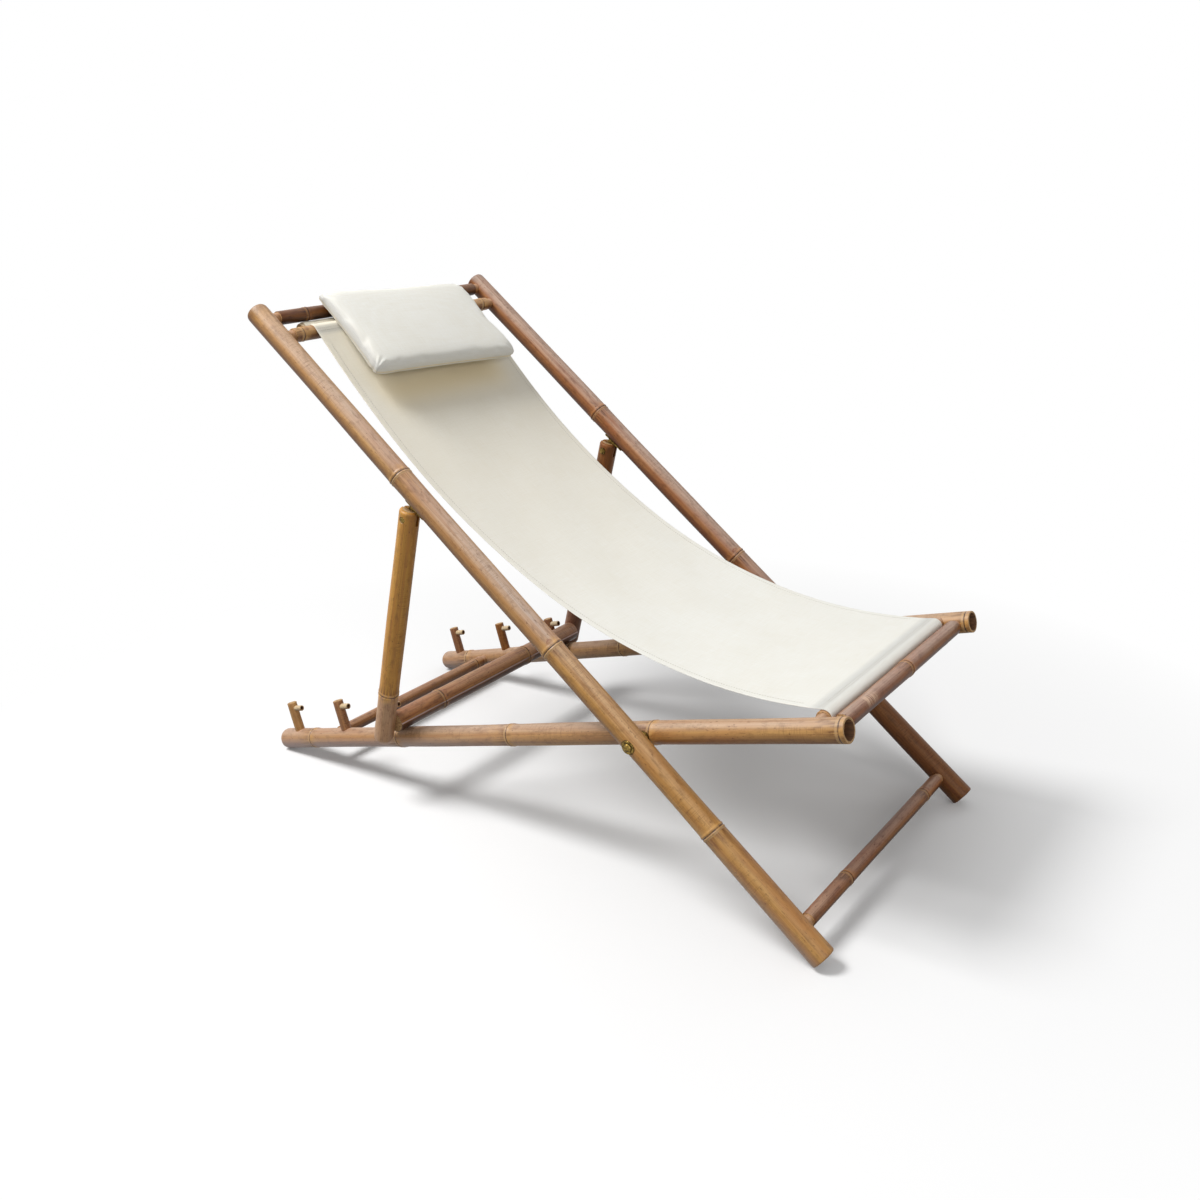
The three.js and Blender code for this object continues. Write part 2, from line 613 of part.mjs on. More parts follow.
// Points of the cloth's middle line, from the hem at the head to the hem at the front
function slingLine() {
  const line = [];
  const push = (point, share) => line.push({ point, share });
  const headMeet = angleTo(headDowel, headBar);
  for (let i = 0; i < slingLoopSteps; i += 1) {
    const turn = headMeet + slingLoopTurn * (1 - i / slingLoopSteps);
    push(around(headDowel, loopRadius, turn), 0);
  }
  const headWrap = angleTo(headBar, headDowel) + 2 * Math.PI;
  const headSweep = (headWrap - headLift) % (2 * Math.PI);
  for (let i = 0; i < slingWrapSteps; i += 1) {
    push(around(headBar, wrapRadius, headLift + headSweep * (1 - i / slingWrapSteps)), 0);
  }
  for (let i = 0; i <= slingHangSteps; i += 1) {
    const share = i / slingHangSteps;
    push(curve.point(THREE.MathUtils.lerp(slingStart.x, slingEnd.x, share)), share);
  }
  const frontWrap = angleTo(frontSlingBar, frontDowel);
  for (let i = 1; i <= slingWrapSteps; i += 1) {
    const turn = THREE.MathUtils.lerp(frontLift, frontWrap, i / slingWrapSteps);
    push(around(frontSlingBar, wrapRadius, turn), 1);
  }
  const frontMeet = angleTo(frontDowel, frontSlingBar);
  for (let i = 1; i <= slingLoopSteps; i += 1) {
    push(around(frontDowel, loopRadius, frontMeet - slingLoopTurn * (i / slingLoopSteps)), 1);
  }
  return line;
}

function slingGeometry() {
  const line = slingLine();
  const vertices = [];
  const triangles = [];
  const stride = 2 * (slingColumns + 1);
  line.forEach(({ point, share }, row) => {
    const before = line[Math.max(row - 1, 0)].point;
    const after = line[Math.min(row + 1, line.length - 1)].point;
    const along = after.clone().sub(before).normalize();
    const up = new THREE.Vector2(-along.y, along.x);
    const middle = Math.sin(Math.PI * share);
    for (const face of [1, -1]) {
      for (let column = 0; column <= slingColumns; column += 1) {
        const across = 2 * column / slingColumns - 1;
        const sag = slingCrossSag * middle * (1 - across ** 2);
        const offset = face * slingThickness / 2 - sag;
        vertices.push(
          point.x + up.x * offset,
          across * (slingHalfWidth - slingDrawIn * middle),
          point.y + up.y * offset,
        );
      }
    }
  });
  const corner = (row, face, column) => row * stride + (face > 0 ? 0 : slingColumns + 1) + column;
  const quad = (a, b, c, d) => triangles.push(a, b, c, a, c, d);
  const last = line.length - 1;
  for (let row = 0; row < last; row += 1) {
    for (let column = 0; column < slingColumns; column += 1) {
      quad(
        corner(row, 1, column), corner(row + 1, 1, column),
        corner(row + 1, 1, column + 1), corner(row, 1, column + 1),
      );
      quad(
        corner(row, -1, column), corner(row, -1, column + 1),
        corner(row + 1, -1, column + 1), corner(row + 1, -1, column),
      );
    }
    quad(corner(row, 1, 0), corner(row, -1, 0), corner(row + 1, -1, 0), corner(row + 1, 1, 0));
    quad(
      corner(row, -1, slingColumns), corner(row, 1, slingColumns),
      corner(row + 1, 1, slingColumns), corner(row + 1, -1, slingColumns),
    );
  }
  for (let column = 0; column < slingColumns; column += 1) {
    quad(
      corner(0, 1, column), corner(0, 1, column + 1),
      corner(0, -1, column + 1), corner(0, -1, column),
    );
    quad(
      corner(last, 1, column + 1), corner(last, 1, column),
      corner(last, -1, column), corner(last, -1, column + 1),
    );
  }
  const geometry = new THREE.BufferGeometry();
  geometry.setAttribute("position", new THREE.BufferAttribute(new Float32Array(vertices), 3));
  geometry.setIndex(triangles);
  return geometry;
}
addMesh(recliner, "sling", solid(slingGeometry()), canvas());

for (const [name, centre] of [["sling_dowel_head", headDowel], ["sling_dowel_front", frontDowel]]) {
  const reach = slingHalfWidth + hemDowelOverhang;
  const dowel = rod(hemDowelRadius, 2 * reach, alongY, at(centre.x, -reach, centre.y));
  addMesh(recliner, name, dowel, paleWood());
}

// Pillow: a stuffed cushion with a crown above, a slight belly below and drawn-in sides
function pillowGeometry() {
  const vertices = [];
  const triangles = [];
  const place = (column, row, face) => {
    const u = 2 * column / pillowColumns - 1;
    const v = 2 * row / pillowRows - 1;
    const swell = Math.sqrt((1 - Math.abs(u) ** 4) * (1 - Math.abs(v) ** 3));
    const edge = THREE.MathUtils.lerp(pillowHeadEdge, pillowFootEdge, row / pillowRows);
    const height = face > 0 ? edge + pillowCrown * swell : -pillowBelly * swell;
    const corner = 1 - pillowCornerShare * Math.abs(u * v) ** 4;
    vertices.push(
      v * corner * (pillowLength / 2 - pillowDrawIn * (1 - u ** 2)),
      u * corner * (pillowWidth / 2 - pillowDrawIn * (1 - v ** 2)),
      height,
    );
    return vertices.length / 3 - 1;
  };
  const grid = [1, -1].map((face) => {
    const rows = [];
    for (let row = 0; row <= pillowRows; row += 1) {
      rows.push(Array.from({ length: pillowColumns + 1 }, (_, column) => place(column, row, face)));
    }
    return rows;
  });
  const [upper, lower] = grid;
  const quad = (a, b, c, d) => triangles.push(a, b, c, a, c, d);
  for (let row = 0; row < pillowRows; row += 1) {
    for (let column = 0; column < pillowColumns; column += 1) {
      quad(upper[row][column], upper[row + 1][column], upper[row + 1][column + 1], upper[row][column + 1]);
      quad(lower[row][column], lower[row][column + 1], lower[row + 1][column + 1], lower[row + 1][column]);
    }
    quad(upper[row][0], lower[row][0], lower[row + 1][0], upper[row + 1][0]);
    const end = pillowColumns;
    quad(upper[row + 1][end], lower[row + 1][end], lower[row][end], upper[row][end]);
  }
  for (let column = 0; column < pillowColumns; column += 1) {
    quad(upper[0][column + 1], lower[0][column + 1], lower[0][column], upper[0][column]);
    const end = pillowRows;
    quad(upper[end][column], lower[end][column], lower[end][column + 1], upper[end][column + 1]);
  }
  const geometry = new THREE.BufferGeometry();
  geometry.setAttribute("position", new THREE.BufferAttribute(new Float32Array(vertices), 3));
  geometry.setIndex(triangles);
  return geometry;
}
// The pillow leans on the sling where that passes over the head sling bar
const pillowRest = new THREE.Group();
pillowRest.position.set(headSlingBarPlace, 0, 0);
pillowRest.rotation.y = pillowDip;
back.add(pillowRest);
const pillowSeat = crossbarRadius + fitGap + slingThickness + fitGap;
const pillow = addMesh(pillowRest, "pillow", solid(pillowGeometry()), canvas());
pillow.position.set(pillowPastSlingBar, pillowSideShift, pillowSeat + pillowBelly);
pillow.rotation.z = pillowSkew;

export default recliner;
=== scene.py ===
import math

import bmesh
import bpy
import numpy as np
from mathutils import Matrix, Vector


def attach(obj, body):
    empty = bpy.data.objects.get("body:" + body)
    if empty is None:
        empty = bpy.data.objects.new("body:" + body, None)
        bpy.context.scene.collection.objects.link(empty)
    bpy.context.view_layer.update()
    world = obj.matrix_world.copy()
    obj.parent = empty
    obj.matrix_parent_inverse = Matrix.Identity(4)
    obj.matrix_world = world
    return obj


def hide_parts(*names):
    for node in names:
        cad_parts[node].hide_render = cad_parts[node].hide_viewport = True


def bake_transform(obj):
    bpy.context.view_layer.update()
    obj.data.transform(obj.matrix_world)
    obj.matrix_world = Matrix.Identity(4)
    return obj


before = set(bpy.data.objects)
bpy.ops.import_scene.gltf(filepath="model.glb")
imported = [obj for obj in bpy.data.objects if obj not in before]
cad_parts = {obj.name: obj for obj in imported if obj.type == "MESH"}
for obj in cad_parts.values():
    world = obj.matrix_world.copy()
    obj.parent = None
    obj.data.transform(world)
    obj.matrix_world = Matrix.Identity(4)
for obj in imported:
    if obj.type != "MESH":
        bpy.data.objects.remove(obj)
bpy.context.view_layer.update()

# Lengths below are millimetres unless a name says otherwise; meshes are made in metres.
MM = 0.001

# The recliner's own sizes
BASE_TILT = math.radians(15.86)
BASE_LENGTH, BASE_RADIUS, BASE_REAR_RADIUS = 1277, 18.5, 20.4
BASE_Y = 238.8
BACK_TILT = math.radians(38.37)
BACK_LENGTH, BACK_RADIUS, BACK_FOOT_RADIUS = 1400, 19.2, 20.8
BACK_Y = 279.2
FLOOR_WEAR = 1.5
PIVOT_FROM_REAR = 933.1
LEG_Y, LEG_RADIUS = 280.2, 18
LEG_ABOVE_PIN, LEG_BELOW_BAR = 15.5, 30
PIN_FROM_PIVOT, PIN_BELOW_RAIL = 529.2, 46.4
POSTS = [50, 197, 344]
POST_RADIUS, POST_HEIGHT = 9.5, 57.5
PEG_RADIUS, PEG_BELOW_TOP, PEG_REACH, PEG_SEAT = 5.5, 12.5, 18, 10
PROP_BAR_RADIUS = 18.9
BAR_RADIUS, FRONT_BAR_RADIUS, TENON_RADIUS = 12, 13.3, 9.5
DOWEL_RADIUS = 9.5
SLING_HALF_WIDTH = 208
GAP = 0.3
FLAT = 1.6  # the depth of the flat spots on the rails, and the washers' thickness
REAR_BAR, FRONT_BAR, SLING_BAR = (137.4, 0), (1253.3, 0), (1224, 6)  # along and above the base rails' line
SIDES = (("left", 1), ("right", -1))


def turned(tilt, x, z):
    """A group's place in the shared frame: its origin in millimetres, turned about Y."""
    return Matrix.Translation(Vector((x, 0, z)) * MM) @ Matrix.Rotation(tilt, 4, "Y")


rear_z = BASE_REAR_RADIUS * math.cos(BASE_TILT) - FLOOR_WEAR
pivot_x = PIVOT_FROM_REAR * math.cos(BASE_TILT)
pivot_z = rear_z + PIVOT_FROM_REAR * math.sin(BASE_TILT)
foot_z = BACK_FOOT_RADIUS * math.cos(BACK_TILT) - FLOOR_WEAR
foot_from_pivot = (pivot_z - foot_z) / math.sin(BACK_TILT)
head_from_pivot = BACK_LENGTH - foot_from_pivot
TOP_BAR, HEAD_BAR = (22.3 - head_from_pivot, 0), (66.6 - head_from_pivot, 0)  # along and above the back rails' line
FOOT_BAR = (foot_from_pivot - 53.1, 0)
rearmost = -BASE_REAR_RADIUS * math.sin(BASE_TILT)
frontmost = pivot_x + foot_from_pivot * math.cos(BACK_TILT) + BACK_FOOT_RADIUS * math.sin(BACK_TILT)
shift_x = -(rearmost + frontmost) / 2


def on_base(along, up):
    c, s = math.cos(BASE_TILT), math.sin(BASE_TILT)
    return Vector((shift_x + along * c - up * s, rear_z + along * s + up * c))


def on_back(along, up):
    c, s = math.cos(BACK_TILT), math.sin(BACK_TILT)
    return Vector((shift_x + pivot_x + along * c + up * s, pivot_z - along * s + up * c))


pin = on_back(-PIN_FROM_PIVOT, -PIN_BELOW_RAIL)
bar_height = BASE_RADIUS + PROP_BAR_RADIUS + GAP
prop_bar = on_base(POSTS[-1] + 33, bar_height)
leg_aim = on_base(POSTS[-1] + 23, bar_height)
leg_to_bar = (pin - leg_aim).length
leg_tilt = math.atan2(pin.x - leg_aim.x, pin.y - leg_aim.y)
leg_length = LEG_ABOVE_PIN + leg_to_bar + LEG_BELOW_BAR

BASE = turned(-BASE_TILT, shift_x, rear_z)
BACK = turned(BACK_TILT, shift_x + pivot_x, pivot_z)
PROP = turned(leg_tilt, pin.x, pin.y)
bar_in_prop = PROP.inverted() @ Vector((prop_bar.x * MM, 0, prop_bar.y * MM)) / MM


# Camera: the photograph's place, direction and lens
camera = bpy.data.objects.new("camera", bpy.data.cameras.new("camera"))
bpy.context.scene.collection.objects.link(camera)
bpy.context.scene.camera = camera
camera.data.lens, camera.data.sensor_width = 35.573, 36
forward = Vector((-0.5619, 0.7511, -0.3466)).normalized()
level = forward.cross(Vector((0, 0, 1))).normalized()
upward = level.cross(forward)
roll = -0.03303
right = math.cos(roll) * level + math.sin(roll) * upward
above = -math.sin(roll) * level + math.cos(roll) * upward
camera.matrix_world = Matrix.Translation((1.2166, -1.6048, 1.1066)) @ Matrix(
    (right, above, -forward)
).transposed().to_4x4()


# ---- materials ----
class Nodes:
    """Short calls for building the nodes of a material or a world."""

    def __init__(self, owner):
        owner.use_nodes = True
        self.owner, self.tree = owner, owner.node_tree
        self.shader = self.tree.nodes.get("Principled BSDF")

    def put(self, socket, value):
        if isinstance(value, bpy.types.NodeSocket):
            self.tree.links.new(value, socket)
        elif isinstance(value, tuple) and len(value) == 3 and socket.type == "RGBA":
            socket.default_value = (*value, 1)
        else:
            socket.default_value = value

    def add(self, kind, out=0, sockets=None, **settings):
        made = self.tree.nodes.new(kind)
        for key, value in settings.items():
            setattr(made, key, value)
        for key, value in (sockets or {}).items():
            self.put(made.inputs[key], value)
        return made.outputs[out]

    def attribute(self, name, out="Vector"):
        return self.add("ShaderNodeAttribute", out, attribute_name=name)

    def scaled(self, vector, scale, shift=(0, 0, 0)):
        return self.add("ShaderNodeMapping", 0, {0: vector, 1: shift, 3: scale})

    def noise(self, vector, scale=1.0, detail=3.0, rough=0.55):
        sockets = {"Vector": vector, "Scale": scale, "Detail": detail, "Roughness": rough}
        return self.add("ShaderNodeTexNoise", 0, sockets)

    def grain(self, place, scale, shift=0.0, detail=3.0, rough=0.55):
        """Noise that is stretched or packed along each axis by its scale."""
        return self.noise(self.scaled(place, scale, (shift, 0, 0)), 1.0, detail, rough)

    def math(self, operation, a, b=0.0, c=0.0):
        return self.add("ShaderNodeMath", 0, {0: a, 1: b, 2: c}, operation=operation)

    def times(self, a, b):
        return self.math("MULTIPLY", a, b)

    def range(self, value, low, high, to_low=0.0, to_high=1.0):
        return self.add("ShaderNodeMapRange", 0, {0: value, 1: low, 2: high, 3: to_low, 4: to_high}, clamp=True)

    def mix(self, share, a, b):
        return self.add("ShaderNodeMix", 2, {0: share, 6: a, 7: b}, data_type="RGBA")

    def over(self, colour, mask, share, coat):
        """The colour with a share of the coat over it where the mask is 1."""
        return self.mix(self.times(mask, share), colour, coat)

    def finish(self, colour, roughness, bumps=(), **sockets):
        """Sets the shader's inputs, each bump upon the one before it."""
        normal = {}
        for height, distance, strength in bumps:
            bump = {"Height": height, "Distance": distance, "Strength": strength, **normal}
            normal = {"Normal": self.add("ShaderNodeBump", 0, bump)}
        sockets = {"Base Color": colour, "Roughness": roughness, **sockets, **normal}
        for name, value in sockets.items():
            self.put(self.shader.inputs[name.replace("_", " ")], value)
        return self.owner


def srgb(red, green, blue):
    """A colour as it looks on screen, 0 to 255, as the shaders take it."""
    return tuple(((c / 255 + 0.055) / 1.055) ** 2.4 if c > 10 else c / 3294.6 for c in (red, green, blue))


def cane_skin(name, colours, scratches=0.5, painted_highlight=0.75, gloss=0.5):
    """Lacquered cane: long fibres, blotches, dark specks, scars, node rings, a painted highlight on its upper side,
    and painted shade and reflection underneath.
    """
    n = Nodes(bpy.data.materials.new(name))
    pale, body, deep, red, grey, ring = (srgb(*colour) for colour in colours)
    place = n.attribute("cane")
    gap, side, tone, upper, under, scar, scuff = (
        n.attribute(key, "Fac") for key in ("node_gap", "node_side", "tone", "upper", "under", "scar", "scuff")
    )
    fibre = n.grain(place, (9, 850, 850))
    strand = n.grain(place, (3, 170, 170), 3.1, 4)
    blotch = n.grain(place, (6, 26, 26), 9.7)
    mottle = n.grain(place, (45, 110, 110), 7.7, 4, 0.65)
    speck = n.grain(place, (150, 420, 420), 1.3, 2)
    cross = n.grain(place, (620, 45, 45), 5.3, 2)
    streak = n.grain(place, (14, 320, 320), 6.1)
    # Painted highlight: a strand-broken mask on the upper side, where a pale greyish colour stands in for the lamps'
    # reflection
    painted_highlight_or_floor_fade = n.times(upper, n.range(strand, 0.25, 0.6, 0.45, 1))
    cracks = n.times(n.range(cross, 0.52, 0.7), n.range(blotch, 0.5, 0.3))
    before, after = n.range(side, 0.1, -0.1), n.range(side, -0.1, 0.1)
    olive = n.times(n.times(n.range(gap, 0.058, 0.008), before), n.range(mottle, 0.6, 0.4))
    stain = n.times(n.times(n.range(gap, 0.034, 0.003), before), n.range(streak, 0.4, 0.62))
    halo = n.times(n.times(n.range(gap, 0.016, 0.004), after), n.range(mottle, 0.62, 0.4))
    ridge = n.times(n.range(n.math("ABSOLUTE", n.math("SUBTRACT", gap, 0.0035)), 0.0028, 0.0012), before)
    ridge = n.times(ridge, n.range(streak, 0.35, 0.55, 0.2, 1))
    broken = n.range(n.grain(place, (1, 120, 120), 0, 2), 0.35, 0.55, 0.35, 1)
    colour = n.mix(n.range(strand, 0.34, 0.68), body, pale)
    layers = [
        (n.range(tone, 0, 1), 0.75, grey),
        (n.range(tone, 0, -1), 0.7, deep),
        # painted highlight on the upper side
        (painted_highlight_or_floor_fade, painted_highlight, srgb(200, 180, 166)),
        (n.range(blotch, 0.46, 0.72), 0.45, red),
        (n.range(mottle, 0.5, 0.7), 0.42, deep),
        (n.range(fibre, 0.48, 0.74), 0.36, deep),
        (cracks, scratches, deep),
        (n.range(speck, 0.64, 0.74), 0.7, deep),
        # painted shade on the sides that face down
        (n.range(under, 0, 1), 0.85, deep),
        # painted reflection: pale lilac where the level is negative
        (n.range(under, 0, -1), 0.9, srgb(200, 180, 180)),
        # Nodes: a pale zone and a streaked stain before the ring, a pale zone after it, its ridge and a dark line
        (olive, 0.35, pale),
        (stain, 0.8, deep),
        (halo, 0.65, pale),
        (ridge, 0.55, ring),
        (n.range(gap, 0.0013, 0.0004), broken, srgb(52, 32, 20)),
        (scar, n.range(mottle, 0.3, 0.6, 0.4, 1), srgb(120, 64, 38)),
        (scuff, n.range(cross, 0.4, 0.56), srgb(224, 190, 160)),
    ]
    for mask, share, coat in layers:
        colour = n.over(colour, mask, share, coat)
    bumps = [(fibre, 0.0003, 0.35), (strand, 0.0012, 0.3), (cross, 0.0003, 0.2), (mottle, 0.0006, 0.25)]
    return n.finish(colour, n.range(strand, 0.3, 0.7, 0.4, 0.54), bumps, Specular_IOR_Level=gloss)


def cut_cane(name, pale, deep):
    """Sawn cane: pale wood with the dark dots of its bundles."""
    n = Nodes(bpy.data.materials.new(name))
    place = n.attribute("cane")
    dots = n.add("ShaderNodeTexVoronoi", 0, {"Vector": n.scaled(place, (60, 1000, 1000)), "Scale": 1.0})
    colour = n.mix(n.range(n.grain(place, (40, 300, 300)), 0.35, 0.7), pale, deep)
    colour = n.over(colour, n.range(dots, 0.34, 0.16), 0.7, deep)
    return n.finish(colour, 0.75, [(dots, 0.0003, 0.4)])


def metal(name, colour, dull, roughness):
    """Plated metal, rubbed and a little tarnished."""
    n = Nodes(bpy.data.materials.new(name))
    place = n.add("ShaderNodeTexCoord", "Object")
    wear = n.noise(place, 260, 4)
    brush = n.grain(place, (900, 2600, 900), 0, 2)
    tarnished = n.mix(n.range(wear, 0.42, 0.66), colour, dull)
    rough = n.range(wear, 0.3, 0.7, roughness, roughness + 0.22)
    return n.finish(tarnished, rough, [(brush, 0.0001, 0.3)], Metallic=1.0)


def cloth(name, colour, shade, pitch):
    """Plain-woven canvas: threads over and under at a pitch in millimetres, slubs and faint unevenness, with painted
    shade, warm and grey, laid on by the piece's attributes.
    """
    n = Nodes(bpy.data.materials.new(name))
    place = n.attribute("weave")
    parts = [n.add("ShaderNodeSeparateXYZ", i, {0: place}) for i in range(3)]
    waves = [n.math("SINE", n.times(part, math.pi / (pitch * MM))) for part in parts]
    weave = n.times(waves[0], waves[1])
    weave = n.math("MULTIPLY_ADD", waves[1], waves[2], weave)
    weave = n.math("MULTIPLY_ADD", waves[2], waves[0], weave)
    weft, warp = n.grain(place, (25, 900, 900)), n.grain(place, (900, 25, 900))
    threads = n.math("MULTIPLY_ADD", weft, 0.5, n.times(warp, 0.5))
    tint = n.over(colour, n.range(threads, 0.38, 0.66), 0.5, shade)
    tint = n.over(tint, n.range(n.noise(place, 9, 3), 0.4, 0.7), 0.2, shade)
    # darker in the weave's hollows: partly the gaps between threads, partly painted shade
    tint = n.over(tint, n.range(weave, 0.1, -0.8), 0.35, shade)
    # painted warm shade and shadow, an ochre tint
    tint = n.mix(n.attribute("shade", "Fac"), tint, srgb(236, 218, 178))
    # painted grey shade
    tint = n.over(tint, n.attribute("painted_grey_shade", "Fac"), n.range(threads, 0.3, 0.7, 0.4, 1), srgb(184, 184, 182))
    return n.finish(
        tint, 0.92,
        [(weave, 0.0004, 0.35), (threads, 0.0006, 0.4)],
        Sheen_Weight=0.12, Sheen_Roughness=0.5, Specular_IOR_Level=0.25,
    )


# Pale, body, deep, red, grey and node ring, then scratches, the share of the painted highlight, and gloss
SKINS = [
    ("lacquered", [(204, 156, 88), (174, 122, 58), (92, 52, 20), (166, 98, 46), (194, 158, 138), (216, 178, 126)]),
    ("golden", [(232, 174, 80), (212, 148, 56), (98, 54, 20), (184, 108, 44), (212, 182, 162), (216, 172, 124)],
     0.8, 0.2),
    ("ochre", [(180, 124, 64), (146, 90, 41), (52, 30, 24), (142, 76, 37), (172, 132, 108), (188, 150, 104)],
     0.7, 0.5, 0.4),
    ("brown", [(170, 114, 60), (136, 80, 36), (62, 30, 12), (136, 66, 30), (182, 146, 128), (196, 154, 108)],
     0.6, 0.9, 0.25),
    ("dark", [(130, 82, 38), (96, 54, 22), (36, 18, 6), (98, 46, 20), (128, 92, 66), (160, 118, 76)],
     0.5, 0.5, 0.3),
    ("pale", [(230, 208, 168), (214, 186, 140), (150, 116, 78), (206, 172, 130), (214, 200, 176), (236, 218, 184)],
     0.2, 0.2),
]
CANE, GOLD, OCHRE, BROWN, DARK, PALE = (cane_skin(f"cane_{name}", *looks) for name, *looks in SKINS)
CUT = cut_cane("cane_sawn", srgb(206, 172, 122), srgb(132, 92, 56))
BORE = cut_cane("cane_inside", srgb(122, 84, 52), srgb(70, 44, 26))
BRASS = metal("brass_plated", srgb(142, 118, 62), srgb(78, 62, 34), 0.38)
STEEL = metal("steel_screw", srgb(176, 170, 160), srgb(110, 102, 92), 0.35)
CANVAS = cloth("canvas", srgb(241, 241, 236), srgb(226, 221, 206), 0.9)
THREAD = cloth("canvas_thread", srgb(214, 210, 200), srgb(184, 178, 162), 0.4)


# ---- mesh helpers ----
def shade_faces(mesh, smooth):
    mesh.polygons.foreach_set("use_smooth", [smooth] * len(mesh.polygons))


def new_piece(name, vertices, faces, materials, slots=None, smooth=True, group=Matrix()):
    """A piece with its faces turned outwards; its vertices are metres within the group."""
    mesh = bpy.data.meshes.new(name)
    mesh.from_pydata([tuple(v) for v in vertices], [], faces)
    for material in materials:
        mesh.materials.append(material)
    if slots is not None:
        mesh.polygons.foreach_set("material_index", np.array(slots, np.int32))
    shade_faces(mesh, smooth)
    edited = bmesh.new()
    edited.from_mesh(mesh)
    bmesh.ops.recalc_face_normals(edited, faces=edited.faces)
    edited.to_mesh(mesh)
    edited.free()
    mesh.transform(group)
    piece = bpy.data.objects.new(name, mesh)
    bpy.context.scene.collection.objects.link(piece)
    return piece


def positions(piece):
    return np.array([v.co for v in piece.data.vertices])


def set_positions(piece, co):
    piece.data.vertices.foreach_set("co", co.astype(np.float32).ravel())
    piece.data.update()


def give(piece, name, values):
    """Stores a number or a vector at each point of the piece, for its material."""
    kind, key = ("FLOAT", "value") if values.ndim == 1 else ("FLOAT_VECTOR", "vector")
    piece.data.attributes.new(name, kind, "POINT").data.foreach_set(key, values.astype(np.float32).ravel())


def apply_modifier(piece, kind, **settings):
    made = piece.modifiers.new("made", kind)
    for key, value in settings.items():
        setattr(made, key, value)
    with bpy.context.temp_override(object=piece, active_object=piece):
        bpy.ops.object.modifier_apply(modifier=made.name)


def turned_mesh(name, group, grid, materials, slots, caps):
    """A tube of rings, grid being rings x columns x 3: materials by band and by end, or no caps to join its ends."""
    rings, columns = grid.shape[:2]
    vertices, faces, indices = [*grid.reshape(-1, 3)], [], []
    for ring in range(rings - 1 if caps else rings):
        a, b = ring * columns, (ring + 1) % rings * columns
        for i in range(columns):
            j = (i + 1) % columns
            faces.append((a + i, b + i, b + j, a + j))
            indices.append(slots[ring])
    if caps:
        vertices += [grid[0].mean(0), grid[-1].mean(0)]
        first, end = rings * columns, (rings - 1) * columns
        for i in range(columns):
            j = (i + 1) % columns
            faces += [(first, i, j), (first + 1, end + j, end + i)]
            indices += caps
    return new_piece(name, vertices, faces, materials, indices, group=group)


def capped(rings, columns, first=0):
    """Faces of a tube with flat ends, whose points are numbered ring by ring from first on."""
    last = first + (rings - 1) * columns
    faces = [tuple(range(first, first + columns))[::-1], tuple(range(last, last + columns))]
    for a in range(first, last, columns):
        for i in range(columns):
            j = (i + 1) % columns
            faces.append((a + i, a + j, a + columns + j, a + columns + i))
    return faces


def carve(piece, *cutters):
    """Cuts each cutter out of the piece and removes it."""
    for cutter in cutters:
        apply_modifier(piece, "BOOLEAN", operation="DIFFERENCE", solver="EXACT", object=cutter)
        bpy.data.objects.remove(cutter)


def axes(axis):
    """Unit vectors along, beside and above an axis."""
    return np.roll(np.eye(3), -"XYZ".index(axis), 0)


def round_grid(axis, start, columns, rings):
    """Rings of points round an axis; each ring is its place along the axis, its radii and its middle's drift."""
    along, side, up = axes(axis)
    angles = np.linspace(0, 2 * math.pi, columns, endpoint=False)
    around = np.outer(np.cos(angles), side) + np.outer(np.sin(angles), up)
    return MM * np.array([
        np.array(start) + along * s + side * drift[0] + up * drift[1] + around * np.broadcast_to(r, columns)[:, None]
        for s, r, drift in rings
    ])


def revolve(name, group, axis, start, profile, material, columns=32, caps=(0, 0)):
    """A solid of revolution: profile is (place along the axis, radius) pairs from end to end."""
    grid = round_grid(axis, start, columns, [(s, r, (0, 0)) for s, r in profile])
    return turned_mesh(name, group, grid, [material], [0] * len(profile), caps)


def box_cutter(group, low, high):
    section = [(low[1], low[2]), (high[1], low[2]), (high[1], high[2]), (low[1], high[2])]
    corners = [Vector((x, y, z)) * MM for x in (low[0], high[0]) for y, z in section]
    return new_piece("box", corners, capped(2, 4), [], smooth=False, group=group)


def drill(group, x, y, sign, radius, length=20):
    """A round cutter from x and y on, in the direction of sign * Y."""
    profile = [(0, radius), (sign * length, radius)][::sign]
    return revolve("drill", group, "Y", (x, y, 0), profile, CUT)


def place_piece(piece, body, slot, *nodes):
    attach(piece, body)
    if nodes:
        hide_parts(*nodes)


def hump(x, middle, width, power=2):
    """A smooth rise to 1 round a middle."""
    return np.exp(-(((x - middle) / width) ** power))


# ---- canes ----
NODE_STEPS = [0, 0.3, 0.7, 1.2, 1.8, 2.4, 3, 3.6, 4.3, 5.1, 6, 7, 8, 9, 10, 11, 12.5, 15, 19, 25, 34]
NODE_STEPS = [-step for step in NODE_STEPS[:0:-1]] + NODE_STEPS


